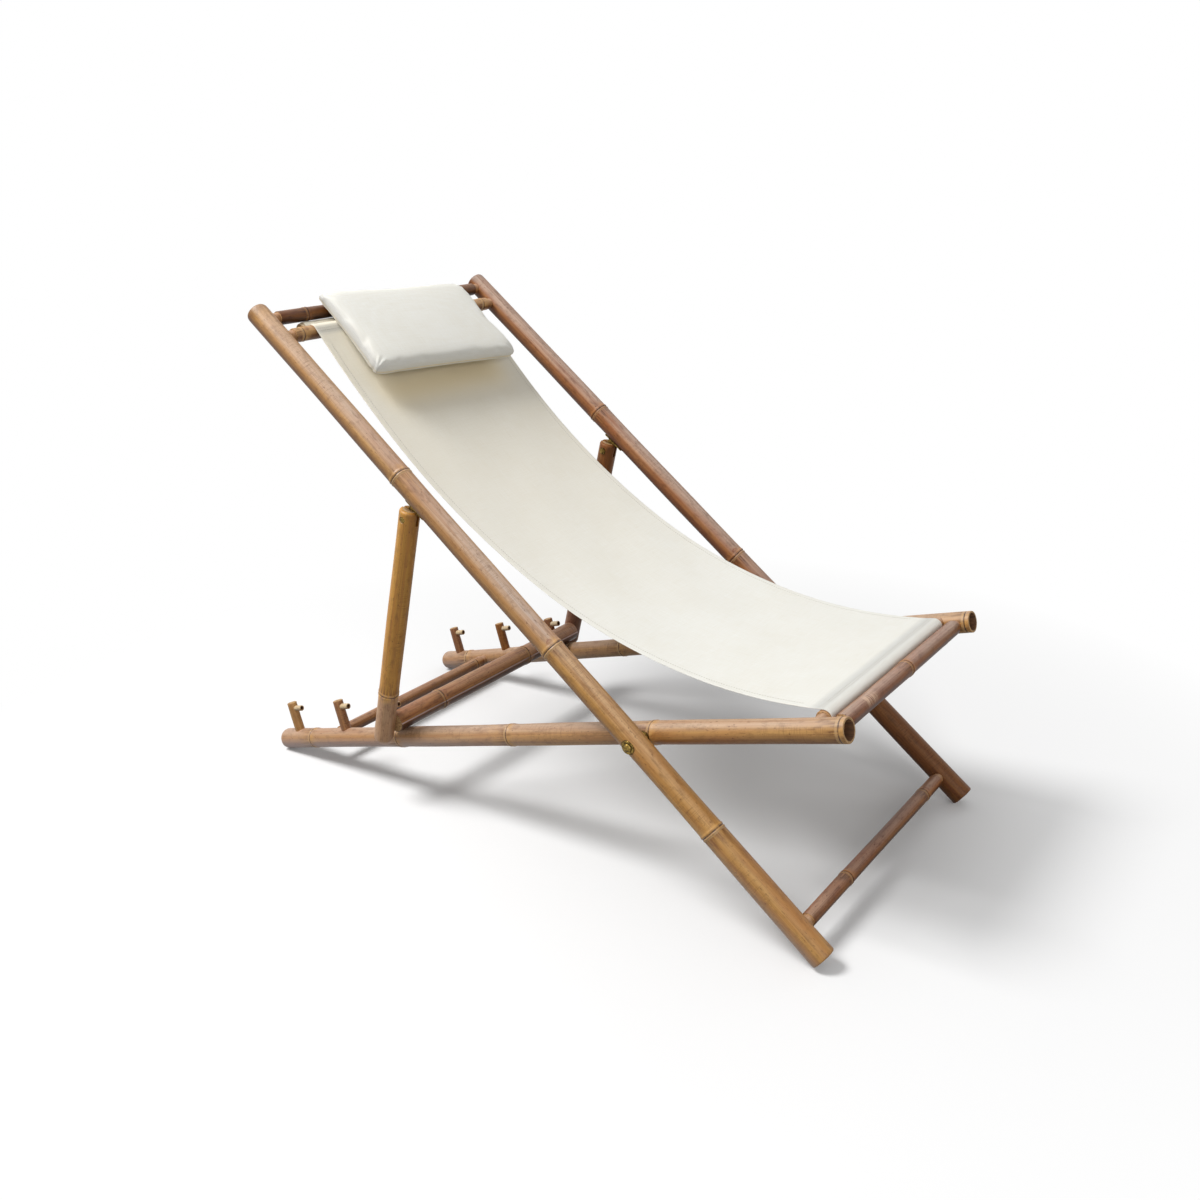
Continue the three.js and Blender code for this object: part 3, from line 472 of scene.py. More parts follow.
def cane(name, group, axis, start, length, radius, nodes, seed, skin=CANE,
         start_radius=None, end_radius=None, bores=(0, 0), depths=(0, 0), lines=(), tones=None, scuffs=(),
         sign=1, columns=48, wander=0.6, dense=(), grow=1, bud=None, painted_highlight=((0, 0.5),), worn=(0.9, 0.9), cutters=(),
         below=((0, 0.8),), glint=0.0, dull=0.0):
    """One pole of cane from start along axis: rings at its nodes, grooves above them, bored or sawn ends, a painted
    highlight above and painted shade below.
    """
    along, side, up = axes(axis)
    rng = np.random.default_rng(seed)
    phase = rng.uniform(0, 2 * math.pi, 6)
    leans = [
        (rng.uniform(0.5, 1.1) * radius / 19, rng.uniform(0, 2 * math.pi), rng.uniform(0, 2 * math.pi)) for _ in nodes
    ]
    if bud is not None:
        phase[3] = bud
    if tones is None:
        tones = rng.uniform(0, 0.6, len(nodes) + 1)
    low, high = worn[0], length - worn[1]
    places = set(np.linspace(low, high, max(8, round(length / 16))).round(3))
    for node in (*nodes, *lines):
        places.update(round(node + step, 3) for step in NODE_STEPS)
    for middle, extent in dense:
        places.update(np.arange(middle - extent, middle + extent, 2.0).round(3))
    places = [p for p in sorted(places) if low <= p <= high]
    places = [p for i, p in enumerate(places) if i == 0 or p - places[i - 1] > 0.25]
    first, last = (min(nodes), max(nodes)) if nodes else (length / 2, length / 2)
    ends = (start_radius or radius, end_radius or radius)
    knots, levels = [0, first, last + 0.01, length], [ends[0], radius, radius, ends[1]]
    angles = np.linspace(0, 2 * math.pi, columns, endpoint=False)
    size = min(1, radius / 16)

    def from_node(s, i, a):
        """How far past the leaning, wavy ring of node i a place is."""
        lean, turn, wave = leans[i]
        return grow * (s - nodes[i] - lean * np.cos(a - turn) - 0.3 * size * np.sin(3 * a + wave))

    def bud_turn(i, a):
        return np.angle(np.exp(1j * (a - phase[3] - math.pi * i - 0.35)))

    def outer(s):
        r = np.full(columns, np.interp(s, knots, levels))
        r += 0.012 * radius * np.sin(2 * angles + phase[0]) + 0.006 * radius * np.sin(3 * angles + phase[1])
        r += 0.012 * radius * math.sin(s / 47 + phase[2])
        for i in range(len(nodes)):
            t = from_node(s, i, angles)
            rise = 0.85 * hump(t, -2.7, 1.25) + 0.9 * hump(t, 2.9, 2)
            rise += 0.3 * np.exp(-np.abs(t) / 18) - 0.35 * hump(t, 0, 0.7)
            r += rise * size
            after = np.maximum(t, 0)
            off = bud_turn(i, angles)
            r -= 0.045 * radius * hump(off, 0, 0.3) * np.exp(-after / 60) * (1 - np.exp(-after / 6))
            r += 0.05 * radius * hump(off * radius, 0, 4) * hump(t, 8, 4.5)
        for place in lines:
            r -= 0.3 * hump(s, place, 0.7)
        return r

    def centre(s):
        bow = wander * math.sin(math.pi * s / length)
        return bow * math.sin(s / 210 + phase[4]), bow * math.cos(s / 170 + phase[5])

    rings = []  # place, radii, and material: 0 skin, 1 sawn edge, 2 bore
    for end in (0, 1):
        at, edge, bore = [0.0, length][end], worn[end], bores[end]
        inward = 1 if end == 0 else -1
        rim = outer(low if end == 0 else high)
        parts = []
        if bore:
            parts = [(at + inward * depths[end], bore * 0.96, 2), (at + inward * depths[end] * 0.4, bore, 2),
                     (at + inward * 0.5, bore, 2), (at, bore + 0.4, 1)]
        drop = min(edge, ends[end] - bore - 1.2) if bore else edge
        for turn in (90, 68, 45, 22) if edge > 2 else (90, 45):
            sine, cosine = math.sin(math.radians(turn)), math.cos(math.radians(turn))
            parts.append((at + inward * edge * (1 - sine), rim - drop * (1 - cosine), 1 if turn == 90 else 0))
        rings += parts + [(s, outer(s), 0) for s in places] if end == 0 else parts[::-1]
    slots = [slot for _, _, slot in rings]
    bands = [2 if 2 in pair else min(pair) for pair in zip(slots, slots[1:])]
    caps = [2 if bore else 1 for bore in bores]
    grid = round_grid(axis, start, columns, [(sign * s, r, centre(s)) for s, r, _ in rings])[:, ::sign]
    piece = turned_mesh(name, group, grid, [skin, CUT, BORE], bands, caps)
    co = positions(piece)
    co[:, 2] = np.maximum(co[:, 2], 0)
    set_positions(piece, co)
    carve(piece, *cutters)
    # Place along and across the cane, the way to its nearest node, what marks the skin there, and where highlight and
    # shade are painted
    local = positions(piece) @ np.array(group.inverted().to_3x3()).T + np.array(group.inverted().translation)
    local -= np.array(start) * MM
    s, a = sign * (local @ along) / MM, np.arctan2(local @ up, local @ side)
    give(piece, "cane", np.stack([s * MM + seed * 1.7, local @ side, local @ up], 1))
    away = [from_node(s, i, a) for i in range(len(nodes))] + [s - place for place in lines]
    away = np.array(away if away else [s + 1000])
    nearest = away[np.abs(away).argmin(0), np.arange(len(s))]
    give(piece, "node_gap", np.clip(np.abs(nearest), 0, 60) * MM)
    give(piece, "node_side", np.clip(nearest / 2, -1, 1))
    tone = np.array(tones)[np.searchsorted(np.array(nodes), s)] if nodes else np.full(len(s), float(tones[0]))
    give(piece, "tone", tone - dull * hump(s, 0, 16))
    marks = np.zeros(len(s))
    for i in range(len(nodes)):
        off = bud_turn(i, a) * radius
        round_ = np.hypot(off / 4.4, (away[i] - 7.5) / 4.2) / size
        crescent = 0.95 * hump(round_, 1, 0.28) * np.clip((away[i] - 5) / 4, 0, 1)
        marks = np.maximum(marks, np.maximum(crescent, 0.4 * np.clip(1.6 - round_, 0, 1)))
    give(piece, "scar", np.clip(marks, 0, 1))
    # Painted highlight: sides facing up and towards the lamps get a pale colour, by a level that changes along the
    # cane
    outward = (np.outer(np.cos(a), side) + np.outer(np.sin(a), up)) @ np.array(group.to_3x3()).T
    facing = outward @ np.array(Vector((0.2, -0.3, 0.93)).normalized())
    facing = np.clip((facing - 0.55) / 0.45, 0, 1)
    give(piece, "upper", np.interp(s, *zip(*painted_highlight)) * facing ** 2 * (3 - 2 * facing))
    # Painted shade: the sides that face down are darkened by a level along the cane; a negative level paints a pale
    # lilac reflection there instead
    level = outward[:, 2]
    depth = np.interp(s, *zip(*below)) * np.clip(0.33 - level, 0, 1)
    # The glint paints a narrow pale line along the side, a painted reflection
    give(piece, "under", np.clip(depth - glint * hump(level, 0.08, 0.07), -1, 1))
    marks = np.zeros(len(s))
    for place, turn, long, wide in scuffs:
        off = np.angle(np.exp(1j * (a - turn))) * radius
        marks = np.maximum(marks, hump(s, place, long, 4) * hump(off, 0, wide, 4))
    give(piece, "scuff", marks)
    return piece


# Base and back rails, with flat spots where the pivot's washers and spacers lie
# Rails' looks: levels along each rail of painted shade underneath (a pale lilac painted reflection where negative)
# and of the painted highlight on top
BASE_LOOKS = {
    "left": dict(nodes=[80, 392, 533, 905], below=((0, -0.8), (200, -0.3), (600, 0))),
    "right": dict(nodes=[98, 357, 640, 945], below=((0, -0.9), (450, -0.7), (850, 0.3), (1277, 0.8))),
}
BACK_LOOKS = {
    "left": dict(
        nodes=[397, 798, 1150], skin=BROWN, tones=[0.15, 0.15, 0.15, -0.55],
        painted_highlight=((0, 1), (1000, 0.9), (1100, 0.3), (1150, 0)), below=((0, 1.4), (1400, 0.8)),
    ),
    "right": dict(
        nodes=[404, 789, 1161], skin=CANE, tones=[0.2, 0.2, 0, -0.2],
        painted_highlight=((0, 0.5), (60, 0.8), (300, 1.2), (740, 1.4), (830, 0.6), (1161, 0.1), (1400, 0)),
        below=((0, 1.8), (900, 1), (1161, -0.2), (1400, -0.6)),
    ),
}
SPOT_RADIUS, SPOT_REACH = 12, 15
for side, sign in SIDES:
    y = sign * BASE_Y
    rail = cane(
        f"base_cane_{side}", BASE, "X", (0, y, 0), BASE_LENGTH, BASE_RADIUS, seed=11 + sign,
        start_radius=BASE_REAR_RADIUS, bores=(14.8, 14.8), depths=(30, 36), lines=[BASE_LENGTH - 7.5],
        dense=[(PIVOT_FROM_REAR, SPOT_REACH)], columns=80, worn=(9, 0.9),
        tones=[0.6, 0.35, 0.4, 0.3, 0.1], painted_highlight=((0, 0.8), (900, 0.9)), **BASE_LOOKS[side],
        cutters=[drill(BASE, PIVOT_FROM_REAR, y + s * (BASE_RADIUS - FLAT), s, SPOT_RADIUS) for s in (1, -1)],
    )
    place_piece(rail, "base_frame", "cane", f"base_rail_{side}")
    y = sign * BACK_Y
    rail = cane(
        f"back_cane_{side}", BACK, "X", (-head_from_pivot, y, 0), BACK_LENGTH, BACK_RADIUS, seed=21 + sign,
        end_radius=BACK_FOOT_RADIUS, bores=(15.2, 15.2), depths=(38, 30), dense=[(head_from_pivot, SPOT_REACH)],
        columns=96, worn=(7, 3), grow=-1, bud=-1.29, dull=1.0,
        cutters=[drill(BACK, 0, y + s * (BACK_RADIUS - FLAT), s, SPOT_RADIUS) for s in (1, -1)],
        **BACK_LOOKS[side],
    )
    place_piece(rail, "back_frame", "cane", f"back_rail_{side}")

# Crossbars: node, group, place, radius, nodes, tones, painted highlight above, painted shade below, skin, necks'
# skin, scuffs
BARS = [
    ("rear_crossbar", BASE, REAR_BAR, BAR_RADIUS, [120, 400], [0.1, 0.2, 0.1], 0.6, 1.2, OCHRE, CANE, ()),
    ("front_crossbar", BASE, FRONT_BAR, FRONT_BAR_RADIUS, [222], [-0.45, -0.35], 0.8, 2.6, BROWN, BROWN,
     [(75, 0.9, 11, 9)]),
    ("front_sling_bar", BASE, SLING_BAR, BAR_RADIUS, [], [0.2], 0.3, 1.2, CANE, CANE, ()),
    ("top_crossbar", BACK, TOP_BAR, BAR_RADIUS, [60, 330], [0, 0, 0.2], 0.35, 1.2, DARK, CANE, ()),
    ("head_sling_bar", BACK, HEAD_BAR, BAR_RADIUS, [17, 483], [0.2, 0.2, 0.2], 0.35, 1.6, CANE, CANE, ()),
    ("foot_crossbar", BACK, FOOT_BAR, BAR_RADIUS, [130, 438], [-0.15, -0.4, -0.1], 0.5, 2.6, BROWN, CANE, ()),
]
for number, (node, group, place, radius, nodes, tones, painted_highlight_level, dark, skin, neck_skin, scuffs) in enumerate(BARS):
    x, z = place
    shoulder = (BASE_Y - BASE_RADIUS if group is BASE else BACK_Y - BACK_RADIUS) - 10
    body = "base_frame" if group is BASE else "back_frame"
    bar = cane(
        f"{node}_cane", group, "Y", (x, -shoulder, z), 2 * shoulder, radius, nodes, 31 + number, skin,
        wander=0.3, columns=56, scuffs=scuffs, tones=tones, painted_highlight=((0, painted_highlight_level),), below=((0, dark),),
    )
    place_piece(bar, body, "dark_cane" if skin in (DARK, BROWN) else "cane", node)
    for side, sign in SIDES:
        neck = cane(
            f"{node}_neck_{side}", group, "Y", (x, sign * (shoulder - 1), z), 20, TENON_RADIUS, [],
            51 + number, neck_skin, wander=0, columns=32, sign=sign,
        )
        place_piece(neck, body, "dark_cane" if neck_skin is BROWN else "cane")

# Hooks: posts and pegs
for side, sign in SIDES:
    for i, x in enumerate(POSTS):
        y = sign * BASE_Y
        seat = BASE_RADIUS - 10 + GAP
        post = cane(
            f"post_{side}_{i + 1}", BASE, "Z", (x, y, seat), BASE_RADIUS + POST_HEIGHT - seat, POST_RADIUS, [],
            71 + 2 * i + sign, [CANE, OCHRE, BROWN][i] if sign < 0 else BROWN, wander=0.2, columns=32,
        )
        place_piece(post, "base_frame", "cane", f"hook_post_{side}_{i + 1}")
        peg_start = (x + POST_RADIUS - PEG_SEAT, y, BASE_RADIUS + POST_HEIGHT - PEG_BELOW_TOP)
        peg = cane(
            f"peg_{side}_{i + 1}", BASE, "X", peg_start, PEG_REACH + PEG_SEAT, PEG_RADIUS, [],
            81 + 2 * i + sign, PALE, bores=(0, 3), depths=(0, 8), wander=0, columns=28,
        )
        place_piece(peg, "base_frame", "pale_wood", f"hook_peg_{side}_{i + 1}")

# Prop frame: legs slotted for the brackets' tongues and recessed for the pins' heads and nuts, and the bar
PIN_SEAT = 15
for side, sign in SIDES:
    y = sign * LEG_Y
    cutters = [
        box_cutter(PROP, (-26, sign * BACK_Y - 3, -9.5), (26, sign * BACK_Y + 3, 30)),
        drill(PROP, 0, y + sign * PIN_SEAT, sign, 5.9),
        drill(PROP, 0, y - sign * PIN_SEAT, -sign, 6.7),
    ]
    leg = cane(
        f"leg_{side}", PROP, "Z", (0, y, LEG_ABOVE_PIN), leg_length, LEG_RADIUS, [LEG_ABOVE_PIN + 351], 91 + sign,
        skin=BROWN if sign > 0 else GOLD, tones=[0, 0.8], worn=(5, 8), sign=-1, wander=0.5,
        dense=[(LEG_ABOVE_PIN, 14)], cutters=cutters,
    )
    place_piece(leg, "prop_frame", "cane", f"prop_leg_{side}")
bar_end = LEG_Y - LEG_RADIUS + 2
# The prop bar is painted dark underneath, with a painted pale reflection line along its side
bar = cane(
    "prop_bar", PROP, "Y", (bar_in_prop.x, -bar_end, bar_in_prop.z), 2 * bar_end, PROP_BAR_RADIUS,
    [116, 368], 97, OCHRE, tones=[0.1, 0.1, 0.5], wander=0.4, columns=120, below=((0, 2.2),), glint=2,
)
place_piece(bar, "prop_frame", "dark_cane", "prop_crossbar")


# ---- hardware ----
def ring_piece(name, y, sign, thickness, outer=11, inner=5.3, edge=0.3):
    """A washer or spacer round the pivot, with a real hole."""
    flank = [(0, inner), (0, outer - edge), (edge, outer)]
    profile = flank + [(thickness - s, r) for s, r in flank[::-1]]
    seat = (PIVOT_FROM_REAR, y, 0)
    return revolve(name, BASE, "Y", seat, [(sign * s, r) for s, r in profile], BRASS, 36, None)


def soften(piece, width):
    """A small bevel on the piece's edges, so that they catch the light."""
    apply_modifier(
        piece, "BEVEL", width=width * MM, segments=2, limit_method="ANGLE", angle_limit=math.radians(30)
    )
    shade_faces(piece.data, False)
    return piece


def bolt(name, group, x, y, sign, shank_radius, shank, head_radius, head_height):
    """A round-headed bolt whose head sits at x and y and faces sign * Y."""
    dome = [(head_height * math.sin(t), head_radius * math.cos(t)) for t in np.linspace(0.12, 1.25, 9)]
    dimple, top = head_radius * 0.3, dome[-1][0]
    profile = [
        (-shank, shank_radius - 0.5), (-shank + 0.5, shank_radius), (0, shank_radius),
        (0, head_radius - 0.2), (0.3, head_radius), *dome, (top, dimple), (top - 0.9, dimple * 0.8),
    ]
    return revolve(name, group, "Y", (x, y, 0), [(sign * s, r) for s, r in profile][::sign], BRASS, 40)


def nut(name, group, x, y, sign, radius, height, bore):
    """A hexagonal nut with softened edges, from x and y on, against the direction of sign * Y."""
    low = y - (height if sign > 0 else 0)
    piece = revolve(name, group, "Y", (x, low, 0), [(0, radius), (height, radius)], BRASS, 6)
    carve(piece, revolve("hole", group, "Y", (x, y - height - 5, 0), [(0, bore), (2 * height + 10, bore)], BRASS))
    return soften(piece, 0.4)


for side, sign in SIDES:
    back_face = BACK_Y + BACK_RADIUS - FLAT
    base_face = BASE_Y - BASE_RADIUS + FLAT
    head_seat = back_face + GAP + FLAT + GAP
    nut_seat = base_face - GAP - FLAT - GAP
    shank = head_seat - nut_seat + 10
    spacer_face = BASE_Y + BASE_RADIUS - FLAT + GAP
    spacer_length = BACK_Y - BACK_RADIUS - BASE_Y - BASE_RADIUS + 2 * (FLAT - GAP)
    y, seat = sign * LEG_Y, PIN_SEAT + GAP
    pieces = {
        "pivot_bolt": bolt(f"bolt_{side}", BASE, PIVOT_FROM_REAR, sign * head_seat, sign, 5, shank, 7, 4),
        "pivot_washer_outer": ring_piece(f"washer_outer_{side}", sign * (back_face + GAP), sign, FLAT),
        "pivot_washer_inner": ring_piece(f"washer_inner_{side}", sign * (nut_seat + GAP), sign, FLAT),
        "pivot_spacer": ring_piece(f"spacer_{side}", sign * spacer_face, sign, spacer_length),
        "pivot_nut": nut(f"nut_{side}", BASE, PIVOT_FROM_REAR, sign * nut_seat, sign, 8.2, 7, 5.3),
        "hinge_pin": bolt(f"pin_{side}", PROP, 0, y + sign * seat, sign, 4, 2 * seat + 7.5, 5.6, 2.4),
        "hinge_nut": nut(f"pin_nut_{side}", PROP, 0, y - sign * seat, sign, 6.4, 4.5, 4.3),
    }
    for node, piece in pieces.items():
        place_piece(piece, "base_frame" if "pivot" in node else "prop_frame", "brass", f"{node}_{side}")

# Hinge brackets: a plate under the rail with a round-ended tongue
PLATE_HALF, PLATE_CORNER, PLATE_THICK, TONGUE_HALF, TONGUE_RADIUS = 8, 3, 2, 2.5, 9
for side, sign in SIDES:
    y = sign * BACK_Y
    top = -(BACK_RADIUS + GAP)
    low_x, high_x, inset = PLATE_CORNER - 20, 28 - PLATE_CORNER, PLATE_HALF - PLATE_CORNER
    plate = []
    for cx, cy, begin in ((high_x, inset, 0), (low_x, inset, 90), (low_x, -inset, 180), (high_x, -inset, 270)):
        for step in range(6):
            a = math.radians(begin + 18 * step)
            px, py = cx + PLATE_CORNER * math.cos(a), cy + PLATE_CORNER * math.sin(a)
            plate.append((px - PIN_FROM_PIVOT, y + py))
    tongue = [(TONGUE_RADIUS - PIN_FROM_PIVOT, top - 1), (-TONGUE_RADIUS - PIN_FROM_PIVOT, top - 1)]
    for step in range(17):
        a = math.pi + math.pi * step / 16
        tongue.append((TONGUE_RADIUS * math.cos(a) - PIN_FROM_PIVOT, TONGUE_RADIUS * math.sin(a) - PIN_BELOW_RAIL))
    solids = [
        [[(px, py, z) for px, py in plate] for z in (top - PLATE_THICK, top)],
        [[(px, py, z) for px, z in tongue] for py in (y - TONGUE_HALF, y + TONGUE_HALF)],
    ]
    vertices, faces = [], []
    for near, far in solids:
        faces += capped(2, len(near), len(vertices))
        vertices += [Vector(point) * MM for point in near + far]
    bracket = new_piece(f"bracket_{side}", vertices, faces, [BRASS], smooth=False, group=BACK)
    soften(bracket, 0.3)
    place_piece(bracket, "back_frame", "brass", f"hinge_bracket_{side}")
    for label, place in (("rear", -14.5), ("front", 22.5)):
        seat = (place - PIN_FROM_PIVOT, y, top - PLATE_THICK - GAP - 1.2)
        profile = [(0, 1.2), (0, 2.6), (0.25, 3.3), (0.7, 3.6), (1.2, 3.6), (1.2, 1.8), (13, 1.8), (14.2, 0.6)]
        screw = revolve(f"screw_{side}_{label}", BACK, "Z", seat, profile, STEEL, 28)
        place_piece(screw, "back_frame", "steel", f"bracket_screw_{side}_{label}")


# ---- sling ----
def meeting_point(a, b, distance_a, distance_b):
    """The point at these distances from a and b, on the right of the way from a to b."""
    between = b - a
    span = between.length
    along = (distance_a ** 2 - distance_b ** 2 + span ** 2) / (2 * span)
    aside = math.sqrt(distance_a ** 2 - along ** 2)
    unit = between / span
    return Vector((a.x + unit.x * along + unit.y * aside, a.y + unit.y * along - unit.x * aside))


def to_dowel(radius):
    """From a bar's middle to the middle of a dowel that the cloth holds against it."""
    return radius + CLOTH + 2 * GAP + DOWEL_RADIUS


CLOTH, HANG = 2.0, 825
NODE_RISE = 1.1  # what a crossbar's node rings add to its radius
top_bar, head_bar, front_bar, front_sling_bar = (
    on_back(*TOP_BAR), on_back(*HEAD_BAR), on_base(*FRONT_BAR), on_base(*SLING_BAR)
)
head_dowel = meeting_point(top_bar, head_bar, to_dowel(BAR_RADIUS + NODE_RISE), to_dowel(BAR_RADIUS))
front_dowel = meeting_point(front_sling_bar, front_bar, to_dowel(BAR_RADIUS), to_dowel(FRONT_BAR_RADIUS + NODE_RISE))
wrap_radius = BAR_RADIUS + GAP + CLOTH / 2
loop_radius = DOWEL_RADIUS + GAP + CLOTH / 2


def angle_to(a, b):
    return math.atan2(b.y - a.y, b.x - a.x)


def around_point(centre, radius, angle):
    return Vector((centre.x + radius * math.cos(angle), centre.y + radius * math.sin(angle)))


def hang(a, b):
    """The hanging curve from a to b, and its slope."""
    spread = b.x - a.x
    chord = 2 * HANG * math.sinh(spread / (2 * HANG))
    low = (a.x + b.x) / 2 - HANG * math.asinh((b.y - a.y) / chord)
    rise = lambda x: HANG * math.cosh((x - low) / HANG)
    return (lambda x: Vector((x, a.y - rise(a.x) + rise(x)))), (lambda x: math.sinh((x - low) / HANG))


head_lift, front_lift = math.pi / 4, math.pi / 2
for _ in range(26):
    sling_from = around_point(head_bar, wrap_radius, head_lift)
    sling_to = around_point(front_sling_bar, wrap_radius, front_lift)
    curve, slope = hang(sling_from, sling_to)
    head_lift = math.atan(slope(sling_from.x)) + math.pi / 2
    front_lift = math.atan(slope(sling_to.x)) + math.pi / 2


def arc(centre, radius, begin, turn, count, at_front=0):
    """The cloth's points round a bar or dowel: without the last angle at the head, or the first at the front."""
    steps_ = range(at_front, count + at_front)
    return [(around_point(centre, radius, begin + turn * i / count), at_front) for i in steps_]


LOOP = math.radians(285)
head_turn = (angle_to(head_bar, head_dowel) + 2 * math.pi - head_lift) % (2 * math.pi)
front_turn = angle_to(front_sling_bar, front_dowel) - front_lift
line = arc(head_dowel, loop_radius, angle_to(head_dowel, head_bar) + LOOP, -LOOP, 24)
line += arc(head_bar, wrap_radius, head_lift + head_turn, -head_turn, 14)
hang_first = len(line)
line += [(curve(sling_from.x + (sling_to.x - sling_from.x) * i / 170), i / 170) for i in range(171)]
hang_last = len(line) - 1
line += arc(front_sling_bar, wrap_radius, front_lift, front_turn, 14, 1)
line += arc(front_dowel, loop_radius, angle_to(front_dowel, front_sling_bar), -LOOP, 24, 1)

points = np.array([[p.x, p.y] for p, _ in line])
shares = np.array([share for _, share in line])
steps = np.r_[0, np.cumsum(np.linalg.norm(np.diff(points, axis=0), axis=1))]
tangent = np.gradient(points, axis=0)
tangent /= np.linalg.norm(tangent, axis=1)[:, None]
lifted = np.stack([-tangent[:, 1], tangent[:, 0]], 1)
hem_columns = [-1, -0.994, -0.985, -0.96, -0.944, -0.936, -0.928]
across = np.array(hem_columns + list(np.linspace(-0.9, 0.9, 37)) + [-c for c in hem_columns[::-1]])
middle_share = np.sin(math.pi * shares)


def sling_surface(row_step, u, lift=0.0):
    """Points of the cloth at steps along and shares across, raised by lift from its middle."""
    row_step, u, lift = np.broadcast_arrays(row_step, u, lift)
    x, z, nx, nz, middle = (np.interp(row_step, steps, values) for values in (*points.T, *lifted.T, middle_share))
    ripple = 1.1 * middle * np.sin(u * 5.1 + row_step / 160) * np.sin(row_step / 95 + 1.7 * u)
    near_bar = np.exp(-np.minimum(np.abs(row_step - steps[hang_first]), np.abs(row_step - steps[hang_last])) / 60)
    puckers = 0.35 * near_bar * (middle > 0) * np.sin(u * 47 + 3 * np.sin(9 * u)) * np.minimum(1, middle * 12)
    offset = lift - 7 * middle * (1 - u ** 2) + ripple + puckers
    y = u * (SLING_HALF_WIDTH - 7 * middle)
    return np.stack([x + nx * offset, y, z + nz * offset], -1) * MM


def shell_faces(rows, columns):
    """Faces of a closed shell of two grids of points, first the upper and then the lower one."""
    index = lambda face, row, column: (face * rows + row) * columns + column
    end, last = rows - 1, columns - 1
    faces = []
    for r in range(end):
        for c in range(last):
            faces.append(((0, r, c), (0, r + 1, c), (0, r + 1, c + 1), (0, r, c + 1)))
            faces.append(((1, r, c), (1, r, c + 1), (1, r + 1, c + 1), (1, r + 1, c)))
        faces.append(((0, r, 0), (1, r, 0), (1, r + 1, 0), (0, r + 1, 0)))
        faces.append(((1, r, last), (0, r, last), (0, r + 1, last), (1, r + 1, last)))
    for c in range(last):
        faces.append(((0, 0, c), (0, 0, c + 1), (1, 0, c + 1), (1, 0, c)))
        faces.append(((0, end, c + 1), (0, end, c), (1, end, c), (1, end, c + 1)))
    return [tuple(index(*corner) for corner in face) for face in faces]


def give_above(piece, name, values):
    """Gives numbers to the upper points of a shell and 0 to the lower ones."""
    give(piece, name, np.concatenate([values.ravel(), 0 * values.ravel()]))


# The hems and the strips of the pockets are thicker, and the side edges thinner
from_head, from_front = steps[:, None] - steps[hang_first], steps[:, None] - steps[hang_last]
strip = 0.5 * np.clip((from_front + 10) / 2.5, 0, 1) * (from_front <= 6)
strip = strip + 0.5 * np.clip((10 - from_head) / 2.5, 0, 1) * (from_head >= -6)
edge = 1 - 0.75 * (np.abs(across) >= 1)
half = (0.65 + 0.2 * np.clip((np.abs(across) - 0.936) / 0.01, 0, 1)) * edge
shell = [sling_surface(steps[:, None], across, lift).reshape(-1, 3) for lift in (half + strip * edge, -half)]
sling = new_piece("sling_canvas", np.concatenate(shell), shell_faces(len(steps), len(across)), [CANVAS])
flat = np.stack(np.broadcast_arrays(across * SLING_HALF_WIDTH, steps[:, None], 0), -1) * MM
give(sling, "weave", np.tile(flat.reshape(-1, 3), (2, 1)))
# Painted shadow: an ochre tint on the cloth just below the pillow's foot edge, and painted warm shade growing toward
# the head
painted_warm_shade = 0.6 * hump(from_head, 150, 42) * hump(across, 0, 0.78, 8)
painted_warm_shade = painted_warm_shade + 0.36 * np.clip(1 - from_head / 800, 0, 1)
give_above(sling, "shade", painted_warm_shade)
# Painted grey shade along the hem strips by the front and head bars
band = 0.7 * (hump(from_front, -8, 11, 4) + hump(from_head, 6, 8, 4))
give_above(sling, "painted_grey_shade", np.broadcast_to(band, painted_warm_shade.shape))


def stitches(name, lines, material, long=3.4, wide=0.55, high=0.4):
    """Sewing stitches: a small rounded bar at each (point, direction, up)."""
    vertices, faces = [], []
    angles = np.linspace(0, 2 * math.pi, 6, endpoint=False)
    for point, direction, up in lines:
        side = direction.cross(up).normalized()
        faces += capped(4, 6, len(vertices))
        for share, size in ((-0.5, 0.35), (-0.25, 0.95), (0.25, 0.95), (0.5, 0.35)):
            sink = -0.35 if abs(share) > 0.4 else 0.05
            for a in angles:
                offset = side * (wide * size * math.cos(a)) + up * (high * size * math.sin(a) + sink)
                vertices.append(point + (direction * (share * long) + offset) * MM)
    piece = new_piece(name, vertices, faces, [material])
    give(piece, "weave", positions(piece))
    return piece


def seam(fixed, from_, to, along_cloth, lift=1.15, pitch=4.4):
    """A line of stitches on the cloth: along it at a share across, or across it at a step along."""
    made = []
    count = int(abs(to - from_) / pitch)
    for i in range(count):
        place = from_ + (to - from_) * (i + 0.5) / count
        if along_cloth:
            a, b = (place - 1, fixed), (place + 1, fixed)
        else:
            a, b = (fixed, (place - 1) / SLING_HALF_WIDTH), (fixed, (place + 1) / SLING_HALF_WIDTH)
        pa, pb = (Vector(sling_surface(*p, lift)) for p in (a, b))
        n = Vector((np.interp(a[0], steps, lifted[:, 0]), 0, np.interp(a[0], steps, lifted[:, 1])))
        made.append(((pa + pb) / 2, (pb - pa).normalized(), n.normalized()))
    return made


half, seams = SLING_HALF_WIDTH - 3, []
for back_off in (7, 2.5):
    seams += seam(steps[hang_last] - back_off, -half, half, False)
    seams += seam(steps[hang_first] + back_off, -half, half, False)
for u in (-0.944, 0.944):
    seams += seam(u, steps[hang_first] + 36, steps[hang_last] - 36, True, 0.95)
stitching = stitches("sling_stitching", seams, THREAD)

for piece in (sling, stitching):
    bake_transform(piece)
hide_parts("sling")

